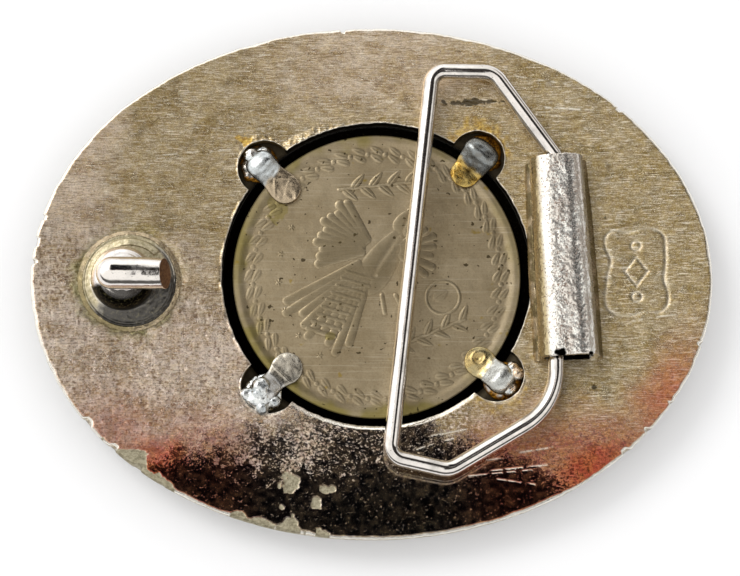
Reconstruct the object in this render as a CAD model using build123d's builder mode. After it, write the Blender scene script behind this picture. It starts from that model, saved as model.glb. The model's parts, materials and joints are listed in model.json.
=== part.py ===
from build123d import *
from math import cos, radians, sin, sqrt
import os

# Oval belt buckle with a coin set in it.
#
# Frame: the buckle lies on its face. +Z points out of its back, +X runs along the oval from the hook
# stud to the bail barrel, and +Y runs across it. The origin is under the oval's centre, at the height
# of the coin bezel's flat face, which is the lowest face of the buckle. Lengths are in millimetres and
# angles in degrees.

os.makedirs("parts", exist_ok=True)

# ---------------------------------------------------------------- driving dimensions

# The two plates: ovals pressed to one dish whose hollow side is the buckle's back.
plate_length = 89.0
plate_width = 68.0
back_thickness = 1.57
front_thickness = 0.9
front_margin = 0.3
dish_radius = 380.0
dish_floor_z = 4.07
rim_bevel = 0.45

# The coin: standard large-dollar size, set a little off the oval's centre.
coin_x = 0.7
coin_y = 0.8
coin_radius = 19.05
coin_thickness = 2.58
coin_rim_width = 1.0
coin_field_depth = 0.18
coin_seat_z = 0.9

# The opening in both plates, and the pockets that let the tabs through the back plate.
opening_radius = 20.35
pocket_radius = 3.65
pocket_distance = 20.5

# The bezel that stops the coin at the front, and its twisted-wire ring.
bezel_window_radius = 17.75
bezel_bore_radius = 19.2
bezel_outer_radius = 21.5
bezel_wall_top_z = 1.9
bezel_flange_top_z = 2.6
bezel_edge_round = 0.5
bezel_rope_radius = 0.8
bezel_rope_z = 1.45

# The twisted-wire border under the rim of the face.
border_width = 2.6
border_height = 1.5
border_margin = 0.7

# The four tabs: place around the coin in degrees, and the distance of each pad from the coin's centre.
tabs = {
    "upper_left": (136.0, 16.8),
    "upper_right": (49.5, 18.1),
    "lower_left": (226.5, 17.0),
    "lower_right": (319.5, 17.7),
}
tab_thickness = 0.55
tab_width = 3.0
tab_pad_radius = 2.05
tab_foot_end = 23.45
tab_foot_start = 22.65
tab_crest = 21.4
tab_crest_z = 4.35
tab_landing = 19.0
tab_bend_radius = 0.5

# Soft solder over each tab's foot.
solder_clearance = 0.1
solder_height = 1.1
solder_taper = 12.0

# The hook stud, on the dish: a foot disc, a boss set back from the foot's centre, and a bar.
hook_x = -31.65
hook_y = -0.3
hook_foot_radius = 6.1
hook_foot_edge = 0.5
hook_foot_crown = 1.1
hook_boss_setback = 0.8
hook_boss_radius = 3.8
hook_neck_radius = 2.0
hook_neck_height = 5.2
hook_flank_radius = 8.0
hook_bar_radius = 2.0
hook_bar_height = 6.0
hook_bar_back = 4.15
hook_bar_front = 4.7
hook_bar_cut = 20.0
hook_bead_width = 0.8

# The bail barrel: a flattened tube, wider at its lower end. Each end is (x, y) on the dish.
barrel_upper = (24.35, 15.7)
barrel_lower = (25.7, -10.7)
barrel_upper_width = 6.9
barrel_lower_width = 7.8
barrel_height = 5.5
barrel_wall = 0.75
barrel_crown_round = 2.6
barrel_foot_round = 0.7
barrel_bead = 0.8

# The bail: a wire bent to a six-sided loop. Corners are (x, y) as seen from above at rest, each with
# the radius of its bend; the loop is lifted about its axle, which is the line between the axle corners.
wire_radius = 1.05
wire_gap = 0.5
axle_upper = (24.25, 15.9)
axle_lower = (23.8, -17.1)
axle_height = 2.4
bail_lift = 3.2
bail_upper_shoulder = (16.1, 27.2)
bar_upper = (8.05, 27.2)
bar_lower = (2.4, -23.6)
bail_lower_shoulder = (10.0, -25.3)
axle_upper_bend = 1.5
axle_lower_bend = 8.5
shoulder_bend = 2.8
bar_bend = 1.9

# How far a shape is carried past the dish before the dish trims it.
trim = 0.4

# ---------------------------------------------------------------- shared geometry

dish_centre_z = dish_floor_z + dish_radius
coin_top_z = coin_seat_z + coin_thickness
stack_height = 12.0


def dish_z(x, y, depth=0.0):
    """Height at (x, y) of the back surface, or of the surface that lies depth under it."""
    return dish_centre_z - sqrt((dish_radius + depth) ** 2 - x**2 - y**2)


def dish_normal(x, y):
    """Unit vector out of the dish's hollow side at (x, y)."""
    return (Vector(0, 0, dish_centre_z) - Vector(x, y, dish_z(x, y))).normalized()


def hollow_side(depth=0.0, keep=Mode.INTERSECT):
    """Trim the current part with the ball whose skin lies depth under the back surface."""
    with Locations((0, 0, dish_centre_z)):
        Sphere(dish_radius + depth, mode=keep)


coin_axis = Axis((coin_x, coin_y, 0), (0, 0, 1))
coin_section = Plane(origin=(coin_x, coin_y, 0), x_dir=(1, 0, 0), z_dir=(0, -1, 0))

# ---------------------------------------------------------------- plates

with BuildPart() as back_plate:
    with BuildSketch():
        Ellipse(plate_length / 2, plate_width / 2)
    extrude(amount=stack_height)
    hollow_side(back_thickness)
    hollow_side(keep=Mode.SUBTRACT)
    rim_edge = back_plate.edges().group_by(SortBy.LENGTH)[-1].sort_by(Axis.Z)[-1]
    chamfer(rim_edge, rim_bevel)
    with BuildSketch():
        with Locations((coin_x, coin_y)):
            Circle(opening_radius)
            for tab_angle, _ in tabs.values():
                with PolarLocations(pocket_distance, 1, start_angle=tab_angle):
                    Circle(pocket_radius)
    extrude(amount=stack_height, mode=Mode.SUBTRACT)
back_plate.part.label = "back_plate"
export_step(back_plate.part, "parts/back_plate.step")

with BuildPart() as front_plate:
    with BuildSketch():
        Ellipse(plate_length / 2 - front_margin, plate_width / 2 - front_margin)
        with Locations((coin_x, coin_y)):
            Circle(opening_radius, mode=Mode.SUBTRACT)
    extrude(amount=stack_height)
    hollow_side(back_thickness + front_thickness)
    hollow_side(back_thickness, keep=Mode.SUBTRACT)
front_plate.part.label = "front_plate"
export_step(front_plate.part, "parts/front_plate.step")

with BuildPart() as rope_border:
    with BuildSketch():
        Ellipse(plate_length / 2 - border_margin, plate_width / 2 - border_margin)
        inner_margin = border_margin + border_width
        Ellipse(plate_length / 2 - inner_margin, plate_width / 2 - inner_margin, mode=Mode.SUBTRACT)
    extrude(amount=stack_height)
    hollow_side(back_thickness + front_thickness + border_height)
    hollow_side(back_thickness + front_thickness, keep=Mode.SUBTRACT)
rope_border.part.label = "rope_border"
export_step(rope_border.part, "parts/rope_border.step")

# ---------------------------------------------------------------- coin and bezel

with BuildPart() as coin_bezel:
    with BuildSketch(coin_section):
        with BuildLine():
            Polyline(
                (bezel_window_radius, 0),
                (bezel_outer_radius, 0),
                (bezel_outer_radius, bezel_flange_top_z),
                (opening_radius, bezel_flange_top_z),
                (opening_radius, bezel_wall_top_z),
                (bezel_bore_radius, bezel_wall_top_z),
                (bezel_bore_radius, coin_seat_z),
                (bezel_window_radius, coin_seat_z),
                close=True,
            )
        make_face()
    revolve(axis=coin_axis)
    face_edges = coin_bezel.edges().group_by(Axis.Z)[0]
    fillet(face_edges, bezel_edge_round)
    add(front_plate.part, mode=Mode.SUBTRACT)
coin_bezel.part.label = "coin_bezel"
export_step(coin_bezel.part, "parts/coin_bezel.step")

with BuildPart() as bezel_rope:
    with BuildSketch(coin_section):
        with Locations((bezel_outer_radius + bezel_rope_radius, bezel_rope_z)):
            Circle(bezel_rope_radius)
    revolve(axis=coin_axis)
    add(front_plate.part, mode=Mode.SUBTRACT)
bezel_rope.part.label = "bezel_rope"
export_step(bezel_rope.part, "parts/bezel_rope.step")

with BuildPart() as coin:
    with BuildSketch(coin_section):
        field_radius = coin_radius - coin_rim_width
        with BuildLine():
            Polyline(
                (0, coin_seat_z + coin_field_depth),
                (field_radius, coin_seat_z + coin_field_depth),
                (field_radius, coin_seat_z),
                (coin_radius, coin_seat_z),
                (coin_radius, coin_top_z),
                (field_radius, coin_top_z),
                (field_radius, coin_top_z - coin_field_depth),
                (0, coin_top_z - coin_field_depth),
                close=True,
            )
        make_face()
    revolve(axis=coin_axis)
coin.part.label = "coin"
export_step(coin.part, "parts/coin.step")

# ---------------------------------------------------------------- tabs and their solder

for place, (tab_angle, pad_distance) in tabs.items():
    outward = Vector(cos(radians(tab_angle)), sin(radians(tab_angle)), 0)
    across = Vector(sin(radians(tab_angle)), -cos(radians(tab_angle)), 0)
    tab_section = Plane(origin=(coin_x, coin_y, 0), x_dir=outward, z_dir=across)
    foot = outward * tab_foot_start
    foot_z = dish_z(coin_x + foot.X, coin_y + foot.Y, back_thickness) + tab_thickness / 2
    pad_z = coin_top_z + tab_thickness / 2

    with BuildPart() as tab:
        with BuildSketch(tab_section):
            with BuildLine():
                bent_strip = Polyline(
                    (pad_distance, pad_z),
                    (tab_landing, pad_z),
                    (tab_crest, tab_crest_z),
                    (tab_foot_start, foot_z),
                    (tab_foot_end, foot_z),
                )
                fillet(bent_strip.vertices()[1:-1], tab_bend_radius)
            trace(line_width=tab_thickness)
        extrude(amount=tab_width / 2, both=True)
        pad_centre = Vector(coin_x, coin_y, coin_top_z) + outward * pad_distance
        with BuildSketch(Plane(origin=pad_centre)):
            Circle(tab_pad_radius)
        extrude(amount=tab_thickness)
        add(front_plate.part, mode=Mode.SUBTRACT)
    tab.part.label = "retaining_tab_" + place
    export_step(tab.part, "parts/retaining_tab_" + place + ".step")

    with BuildPart() as tab_solder:
        pocket = Vector(coin_x, coin_y, 0) + outward * pocket_distance
        pocket_floor_z = dish_z(pocket.X, pocket.Y, back_thickness)
        with BuildSketch(Plane(origin=(pocket.X, pocket.Y, pocket_floor_z - trim))):
            Circle(pocket_radius - solder_clearance)
        extrude(amount=solder_height + trim, taper=solder_taper)
        add(front_plate.part, mode=Mode.SUBTRACT)
        foot_edge = Vector(coin_x, coin_y, 0) + outward * tab_foot_start
        split(bisect_by=Plane(origin=foot_edge, z_dir=outward), keep=Keep.TOP)
        add(tab.part, mode=Mode.SUBTRACT)
    tab_solder.part.label = "tab_solder_" + place
    export_step(tab_solder.part, "parts/tab_solder_" + place + ".step")

# ---------------------------------------------------------------- hook stud and its solder

hook_seat = Vector(hook_x, hook_y, dish_z(hook_x, hook_y))
hook_up = dish_normal(hook_x, hook_y)
hook_along = Vector(hook_up.Z, 0, -hook_up.X).normalized()
hook_across = hook_along.cross(hook_up)
hook_section = Plane(origin=hook_seat, x_dir=hook_along, z_dir=hook_across)
hook_axis = Axis(hook_seat, hook_up)
boss_seat = hook_seat - hook_along * hook_boss_setback
boss_section = Plane(origin=boss_seat, x_dir=hook_along, z_dir=hook_across)

with BuildPart() as hook_stud:
    bar_line = hook_seat + hook_up * hook_bar_height
    bar_start = bar_line - hook_along * (hook_bar_back - hook_bar_radius)
    bar_reach = hook_bar_back + hook_bar_front
    bar_end = bar_line + hook_along * hook_bar_front
    end_normal = hook_along.rotate(Axis((0, 0, 0), hook_across), hook_bar_cut)
    with BuildSketch(Plane(origin=bar_start, z_dir=hook_along)):
        Circle(hook_bar_radius)
    extrude(amount=bar_reach)
    with Locations(bar_start):
        Sphere(hook_bar_radius)
    split(bisect_by=Plane(origin=bar_end, z_dir=end_normal), keep=Keep.BOTTOM)
    with BuildSketch(hook_section):
        with BuildLine():
            Polyline(
                (0, -trim),
                (hook_foot_radius, -trim),
                (hook_foot_radius, hook_foot_edge),
                (hook_boss_radius, hook_foot_crown),
                (0, hook_foot_crown),
                close=True,
            )
        make_face()
    revolve(axis=hook_axis)
    with BuildSketch(boss_section):
        with BuildLine():
            Polyline((0, hook_neck_height), (0, 0), (hook_boss_radius, 0))
            flank_start = (hook_boss_radius, 0)
            flank_end = (hook_neck_radius, hook_neck_height)
            RadiusArc(flank_start, flank_end, -hook_flank_radius)
            Line(flank_end, (0, hook_neck_height))
        make_face()
    revolve(axis=Axis(boss_seat, hook_up))
    add(back_plate.part, mode=Mode.SUBTRACT)
hook_stud.part.label = "hook_stud"
export_step(hook_stud.part, "parts/hook_stud.step")

with BuildPart() as hook_solder:
    with BuildSketch(hook_section):
        with BuildLine():
            Polyline(
                (hook_foot_radius, -trim),
                (hook_foot_radius + hook_bead_width, -trim),
                (hook_foot_radius + hook_bead_width, 0),
                (hook_foot_radius, hook_foot_edge),
                close=True,
            )
        make_face()
    revolve(axis=hook_axis)
    add(back_plate.part, mode=Mode.SUBTRACT)
hook_solder.part.label = "hook_solder"
export_step(hook_solder.part, "parts/hook_solder.step")

# ---------------------------------------------------------------- bail barrel and its solder


def barrel_plane(end):
    """Section plane of the barrel at one end: local X across it, local Y out of the dish."""
    run = Vector(barrel_lower[0] - barrel_upper[0], barrel_lower[1] - barrel_upper[1], 0).normalized()
    return Plane(origin=(end[0], end[1], dish_z(*end)), x_dir=dish_normal(*end).cross(run), z_dir=run)


barrel_ends = ((barrel_upper, barrel_upper_width), (barrel_lower, barrel_lower_width))

with BuildPart() as bail_barrel:
    for end, width in barrel_ends:
        with BuildSketch(barrel_plane(end)) as outside:
            with Locations((0, (barrel_height - trim) / 2)):
                Rectangle(width, barrel_height + trim)
            fillet(outside.vertices().sort_by(Axis.Y)[-2:], barrel_crown_round)
    loft()
    for end, width in barrel_ends:
        with BuildSketch(barrel_plane(end)) as inside:
            with Locations((0, barrel_height / 2)):
                Rectangle(width - 2 * barrel_wall, barrel_height - 2 * barrel_wall)
            fillet(inside.vertices().sort_by(Axis.Y)[-2:], barrel_crown_round - barrel_wall)
            fillet(inside.vertices().sort_by(Axis.Y)[:2], barrel_foot_round)
    loft(mode=Mode.SUBTRACT)
    add(back_plate.part, mode=Mode.SUBTRACT)
bail_barrel.part.label = "bail_barrel"
export_step(bail_barrel.part, "parts/bail_barrel.step")

for place, side in (("inner", -1), ("outer", 1)):
    with BuildPart() as barrel_solder:
        for end, width in barrel_ends:
            with BuildSketch(barrel_plane(end)):
                with BuildLine():
                    Polyline(
                        (side * width / 2, -trim),
                        (side * (width / 2 + barrel_bead), -trim),
                        (side * (width / 2 + barrel_bead), 0),
                        (side * width / 2, barrel_bead),
                        close=True,
                    )
                make_face()
        loft()
        add(back_plate.part, mode=Mode.SUBTRACT)
    barrel_solder.part.label = "barrel_solder_" + place
    export_step(barrel_solder.part, "parts/barrel_solder_" + place + ".step")

# ---------------------------------------------------------------- bail

axle_run = Vector(axle_lower[0] - axle_upper[0], axle_lower[1] - axle_upper[1], 0)
axle_direction = axle_run.normalized()
towards_bar = axle_direction.cross(Vector(0, 0, 1))
barrel_middle_z = (dish_z(*barrel_upper) + dish_z(*barrel_lower)) / 2
axle_start = Vector(axle_upper[0], axle_upper[1], barrel_middle_z + axle_height)
lifted = towards_bar * cos(radians(bail_lift)) + Vector(0, 0, 1) * sin(radians(bail_lift))
bail_plane = Plane(origin=axle_start, x_dir=lifted, z_dir=axle_direction.cross(lifted))


def on_bail(corner):
    """A corner of the bail, given from above, in the bail's own plane."""
    offset = Vector(corner[0] - axle_upper[0], corner[1] - axle_upper[1], 0)
    return (offset.dot(towards_bar) / cos(radians(bail_lift)), -offset.dot(axle_direction))


with BuildPart() as bail_wire:
    with BuildLine(bail_plane) as loop:
        FilletPolyline(
            (0, (wire_gap - axle_run.length) / 2),
            on_bail(axle_upper),
            on_bail(bail_upper_shoulder),
            on_bail(bar_upper),
            on_bail(bar_lower),
            on_bail(bail_lower_shoulder),
            on_bail(axle_lower),
            (0, -(wire_gap + axle_run.length) / 2),
            radius=(axle_upper_bend, shoulder_bend, bar_bend, bar_bend, shoulder_bend, axle_lower_bend),
        )
    with BuildSketch(Plane(origin=loop.line @ 0, z_dir=loop.line % 0)):
        Circle(wire_radius)
    sweep()
bail_wire.part.label = "bail_wire"
export_step(bail_wire.part, "parts/bail_wire.step")
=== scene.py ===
import functools
import json
import math

import bmesh
import bpy
import numpy as np
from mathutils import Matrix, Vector


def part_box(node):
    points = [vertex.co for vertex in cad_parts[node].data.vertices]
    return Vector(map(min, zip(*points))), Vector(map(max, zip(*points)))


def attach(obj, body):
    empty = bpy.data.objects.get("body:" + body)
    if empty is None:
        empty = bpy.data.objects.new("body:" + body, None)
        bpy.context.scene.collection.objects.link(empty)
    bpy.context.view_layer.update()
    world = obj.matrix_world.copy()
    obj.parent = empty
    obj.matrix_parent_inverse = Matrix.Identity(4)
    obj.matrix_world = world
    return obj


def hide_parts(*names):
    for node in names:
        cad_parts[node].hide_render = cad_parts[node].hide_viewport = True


# Looks of an oval belt buckle that lies on its face, seen from behind. Its shapes are worked out in
# millimetres in the frame of the CAD, and make_piece turns them into metres. The floor, the lamp and the
# camera are in metres from the start.

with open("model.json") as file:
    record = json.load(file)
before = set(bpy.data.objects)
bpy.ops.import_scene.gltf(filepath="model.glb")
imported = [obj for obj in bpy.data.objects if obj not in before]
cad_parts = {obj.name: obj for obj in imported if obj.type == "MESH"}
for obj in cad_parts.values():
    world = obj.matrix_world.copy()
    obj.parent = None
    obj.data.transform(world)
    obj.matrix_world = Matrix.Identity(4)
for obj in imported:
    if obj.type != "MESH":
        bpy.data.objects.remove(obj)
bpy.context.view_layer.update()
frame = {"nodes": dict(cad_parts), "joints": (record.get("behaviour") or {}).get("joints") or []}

MM = 0.001
TURN = 2 * math.pi
UP = np.array([0.0, 0.0, 1.0])
MOVING_BODY = "bail"
MOVING_NODES = ("bail_wire",)

# ---------------------------------------------------------------- places taken from the CAD


def box_mm(node):
    """Lowest corner, highest corner and centre of a CAD node."""
    low, high = (np.array(corner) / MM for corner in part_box(node))
    return low, high, (low + high) / 2


def fit_dish():
    """Height of the centre and radius of the ball whose skin is the hollow back of the plate."""
    mesh = frame["nodes"]["back_plate"].data
    upper = np.array([v.co for v in mesh.vertices if v.normal.z > 0.95]) / MM
    rows = np.column_stack([2 * upper[:, 2], np.ones(len(upper))])
    (centre_z, rest), *_ = np.linalg.lstsq(rows, np.sum(upper**2, axis=1), rcond=None)
    return centre_z, math.sqrt(rest + centre_z**2)


plate_low, plate_high, _ = box_mm("back_plate")
half_long, half_short = (plate_high - plate_low)[:2] / 2
coin_low, coin_high, coin_middle = box_mm("coin")
coin_radius = (coin_high - coin_low)[0] / 2
dish_centre_z, dish_radius = fit_dish()
_, bezel_high, bezel_middle = box_mm("coin_bezel")
rope_low, rope_high, _ = box_mm("rope_border")
ring_low, ring_high, ring_middle = box_mm("bezel_rope")
_, _, hook_middle = box_mm("hook_stud")
barrel_low, barrel_high, _ = box_mm("bail_barrel")

# Sizes of the CAD that its boxes don't tell.
BACK_THICKNESS = 1.57
FRONT_THICKNESS = 0.9
OPENING_RADIUS = 20.35
POCKET_RADIUS = 3.65
POCKET_DISTANCE = 20.5
TABS = ("upper_left", "upper_right", "lower_left", "lower_right")


def dish_z(x, y, depth=0.0):
    """Height of the plate's back at (x, y), or of the surface depth under it."""
    return dish_centre_z - np.sqrt((dish_radius + depth) ** 2 - x**2 - y**2)


def tab_turn(place):
    """Angle of a tab round the coin, in radians, from where the CAD has it."""
    _, _, middle = box_mm("retaining_tab_" + place)
    return math.atan2(middle[1] - coin_middle[1], middle[0] - coin_middle[0])


tab_angles = {place: tab_turn(place) for place in TABS}


def round_coin(radius, angle):
    """x and y at a radius and an angle round the coin's axis."""
    return coin_middle[0] + radius * np.cos(angle), coin_middle[1] + radius * np.sin(angle)


def join_points(x, y, z):
    """Points from their coordinates, whatever shapes these have."""
    return np.stack(np.broadcast_arrays(x, y, z), axis=-1)


# ---------------------------------------------------------------- repeatable noise and soft shapes


def lattice(ix, iy, iz, seed):
    """A repeatable random number from 0 to 1 at each whole-number point."""
    with np.errstate(over="ignore"):
        h = ix.astype(np.uint32) * np.uint32(374761393)
        h += iy.astype(np.uint32) * np.uint32(668265263)
        h += iz.astype(np.uint32) * np.uint32(2246822519)
        h += np.uint32(seed) * np.uint32(3266489917)
        h = (h ^ (h >> np.uint32(13))) * np.uint32(1274126177)
        h = h ^ (h >> np.uint32(16))
    return h / 4294967295.0


def noise(size, seed, x, y, z=0.0):
    """Smooth noise from -1 to 1, with features about size across."""
    position = join_points(x, y, z) / size
    cell = np.floor(position).astype(np.int64)
    part = position - cell
    part = part * part * (3 - 2 * part)
    total = 0.0
    for corner in np.ndindex(2, 2, 2):
        weight = np.prod(np.where(corner, part, 1 - part), axis=-1)
        total = total + weight * lattice(*np.moveaxis(cell + corner, -1, 0), seed)
    return total * 2 - 1


def fractal(size, seed, x, y, z=0.0, octaves=3):
    """Noise with finer and weaker noise added to it."""
    return sum(noise(size / 2**octave, seed + octave, x, y, z) / 2**octave for octave in range(octaves))


def smooth_step(value, low, high):
    """0 below low, 1 above high, and a soft step between."""
    share = np.clip((value - low) / (high - low), 0, 1)
    return share * share * (3 - 2 * share)


def hump(value, centre, width):
    """1 at centre, falling off softly to both sides: about a third at width from it."""
    return np.exp(-(((value - centre) / width) ** 2))


def highest(*fields):
    """The largest of several fields at each point."""
    return functools.reduce(np.maximum, fields)


def spot(x, y, centre, size, seed, raggedness=0.35):
    """A ragged spot: 1 inside, 0 outside."""
    far = np.hypot((x - centre[0]) / size[0], (y - centre[1]) / size[1])
    return smooth_step(-far + raggedness * fractal(0.8, seed, x, y), -1.12, -0.88)


def segment_distance(x, y, start, end):
    """Distance of (x, y) from a straight segment."""
    dx, dy = end[0] - start[0], end[1] - start[1]
    share = np.clip(((x - start[0]) * dx + (y - start[1]) * dy) / (dx * dx + dy * dy), 0, 1)
    return np.hypot(x - start[0] - share * dx, y - start[1] - share * dy)


# ---------------------------------------------------------------- mesh helpers


def make_piece(node, points, faces, material, **values):
    """A smooth-shaded mesh that stands in for a CAD node, with values stored on its points."""
    name = "visual_" + node.removeprefix("retaining_").replace("tab_solder", "solder")
    mesh = bpy.data.meshes.new(name)
    points = np.asarray(points, np.float32).reshape(-1, 3) * MM
    if isinstance(faces, np.ndarray):
        mesh.vertices.add(len(points))
        mesh.vertices.foreach_set("co", points.ravel())
        mesh.loops.add(faces.size)
        mesh.loops.foreach_set("vertex_index", faces.astype(np.int32).ravel())
        mesh.polygons.add(len(faces))
        mesh.polygons.foreach_set("loop_start", np.arange(0, faces.size, faces.shape[1], dtype=np.int32))
        mesh.update(calc_edges=True)
    else:
        mesh.from_pydata(points.tolist(), [], faces)
    mesh.validate()
    mesh.polygons.foreach_set("use_smooth", [True] * len(mesh.polygons))
    for key, value in values.items():
        attribute = mesh.attributes.new(key, "FLOAT", "POINT")
        attribute.data.foreach_set("value", np.asarray(value, np.float32).ravel())
    piece = bpy.data.objects.new(name, mesh)
    bpy.context.scene.collection.objects.link(piece)
    mesh.materials.append(material)
    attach(piece, MOVING_BODY if node in MOVING_NODES else "root")
    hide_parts(node)


def grid_faces(rows, columns, loop):
    """Quads of a grid whose rows are closed rings; loop also joins the last row to the first."""
    index = np.arange(rows * columns).reshape(rows, columns)
    after = np.roll(index, -1, axis=1)
    quads = np.stack([index, after, np.roll(after, -1, axis=0), np.roll(index, -1, axis=0)], axis=-1)
    return (quads if loop else quads[:-1]).reshape(-1, 4)


def capped_faces(rows, columns):
    """Quads of a grid of rings, and a face over each end ring."""
    ends = [list(range(columns))[::-1], list(range((rows - 1) * columns, rows * columns))]
    return grid_faces(rows, columns, loop=False).tolist() + ends


def even_mesh(work, voxel, rounds):
    """Points, normals and faces of a bmesh after a voxel remesh and some smoothing."""
    mesh = bpy.data.meshes.new("work")
    work.to_mesh(mesh)
    work.free()
    holder = bpy.data.objects.new("work", mesh)
    bpy.context.scene.collection.objects.link(holder)
    remesh = holder.modifiers.new("even", "REMESH")
    remesh.mode = "VOXEL"
    remesh.voxel_size = voxel
    smooth = holder.modifiers.new("soft", "SMOOTH")
    smooth.factor = 0.5
    smooth.iterations = rounds
    result = holder.evaluated_get(bpy.context.evaluated_depsgraph_get()).to_mesh()
    points = np.array([vertex.co for vertex in result.vertices])
    normals = np.array([vertex.normal for vertex in result.vertices])
    faces = [list(polygon.vertices) for polygon in result.polygons]
    bpy.data.objects.remove(holder)
    return points, normals, faces


def cad_copy(node, voxel, rounds):
    """Points, normals and faces of a CAD node, with even facets and its edges rounded."""
    work = bmesh.new()
    work.from_mesh(frame["nodes"][node].data)
    bmesh.ops.scale(work, vec=Vector((1 / MM,) * 3), verts=work.verts)
    bmesh.ops.remove_doubles(work, verts=work.verts, dist=1e-4)
    return even_mesh(work, voxel, rounds)


def blob(lumps, voxel, rounds):
    """Points, normals and faces of balls run together: each is a centre and three radii."""
    work = bmesh.new()
    for centre, radii in lumps:
        ball = bmesh.ops.create_icosphere(work, subdivisions=3, radius=1)["verts"]
        bmesh.ops.scale(work, vec=Vector(radii), verts=ball)
        bmesh.ops.translate(work, vec=Vector(centre), verts=ball)
    return even_mesh(work, voxel, rounds)


# ---------------------------------------------------------------- node helpers


def linear(tone):
    """Linear colour of an 8-bit screen colour; anything else is given back as it is."""
    if isinstance(tone, tuple) and len(tone) == 3:
        return tuple((level / 255) ** 2.2 for level in tone) + (1.0,)
    return tone


def dimmed(tone, share):
    """An 8-bit screen colour with a share of its light, as a linear colour."""
    return tuple(share * level for level in linear(tone)[:3]) + (1.0,)


class Signal:
    """The output of a node, which can be added, subtracted and multiplied like a number."""

    def __init__(self, nodes, socket):
        self.nodes = nodes
        self.socket = socket

    def __add__(self, other):
        return self.nodes.math("ADD", self, other)

    def __sub__(self, other):
        return self.nodes.math("SUBTRACT", self, other)

    def __rsub__(self, other):
        return self.nodes.math("SUBTRACT", other, self)

    def __mul__(self, other):
        return self.nodes.math("MULTIPLY", self, other)


class Nodes:
    """Short way to write a node tree: every call adds a node and gives back its output."""

    def __init__(self, owner):
        owner.use_nodes = True
        self.owner = owner
        self.tree = owner.node_tree
        self.tree.nodes.clear()

    def add(self, kind, inputs=None, output=0, **settings):
        node = self.tree.nodes.new(kind)
        for key, value in settings.items():
            setattr(node, key, value)
        for key, value in (inputs or {}).items():
            if isinstance(value, Signal):
                self.tree.links.new(value.socket, node.inputs[key])
            else:
                node.inputs[key].default_value = value
        return Signal(self, node.outputs[output] if node.outputs else None)

    def math(self, operation, first, second=0.0):
        return self.add("ShaderNodeMath", {0: first, 1: second}, operation=operation)

    def step(self, value, low, high):
        """0 below low, 1 above high, and a soft step between."""
        inputs = {"Value": value, "From Min": low, "From Max": high}
        return self.add("ShaderNodeMapRange", inputs, interpolation_type="SMOOTHSTEP")

    def mix(self, share, first, second):
        """Two colours mixed."""
        inputs = {0: share, 6: linear(first), 7: linear(second)}
        return self.add("ShaderNodeMix", inputs, 2, data_type="RGBA")

    def blend(self, share, first, second):
        """Two numbers mixed."""
        return self.add("ShaderNodeMix", {0: share, 2: first, 3: second}, 0, data_type="FLOAT")

    def pair(self, value, low, high, first, second):
        """One colour where a value is below low, another where it is above high."""
        return self.mix(self.step(value, low, high), first, second)

    def value(self, name):
        """A number stored on the mesh's points."""
        return self.add("ShaderNodeAttribute", output=2, attribute_name=name)

    def over(self, color, *layers):
        """A colour with layers laid over it, each a share (or the name of a stored one) and a colour."""
        for share, tone in layers:
            color = self.mix(self.value(share) if isinstance(share, str) else share, color, tone)
        return color

    def levels(self, level, *layers):
        """The same for a roughness."""
        for share, other in layers:
            level = self.blend(self.value(share) if isinstance(share, str) else share, level, other)
        return level

    def noise(self, size, detail, rough, distortion=0.0, turn=0.0):
        """Noise with features of a size in mm, one for every axis or one for each, turned about Z."""
        sizes = size if isinstance(size, tuple) else (size, size, size)
        place = self.add("ShaderNodeTexCoord", output=3)
        scale = tuple(1 / (s * MM) for s in sizes)
        place = self.add("ShaderNodeMapping", {"Vector": place, "Rotation": (0, 0, turn), "Scale": scale})
        inputs = {"Vector": place, "Scale": 1, "Detail": detail, "Roughness": rough, "Distortion": distortion}
        return self.add("ShaderNodeTexNoise", inputs)

    def surface(self, color, roughness, height=None, depth_mm=0.0, metallic=1.0):
        """Ends a material in one Principled shader, bumped by height times depth_mm, and gives it back."""
        inputs = {"Base Color": color, "Roughness": roughness, "Metallic": metallic}
        if height is not None:
            bump = {"Height": height, "Distance": depth_mm * MM, "Strength": 1.0}
            inputs["Normal"] = self.add("ShaderNodeBump", bump)
        shader = self.add("ShaderNodeBsdfPrincipled", inputs)
        self.add("ShaderNodeOutputMaterial", {"Surface": shader})
        return self.owner


def new_nodes(name):
    """The nodes of a new material."""
    return Nodes(bpy.data.materials.new(name))




# ---------------------------------------------------------------- materials


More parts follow.
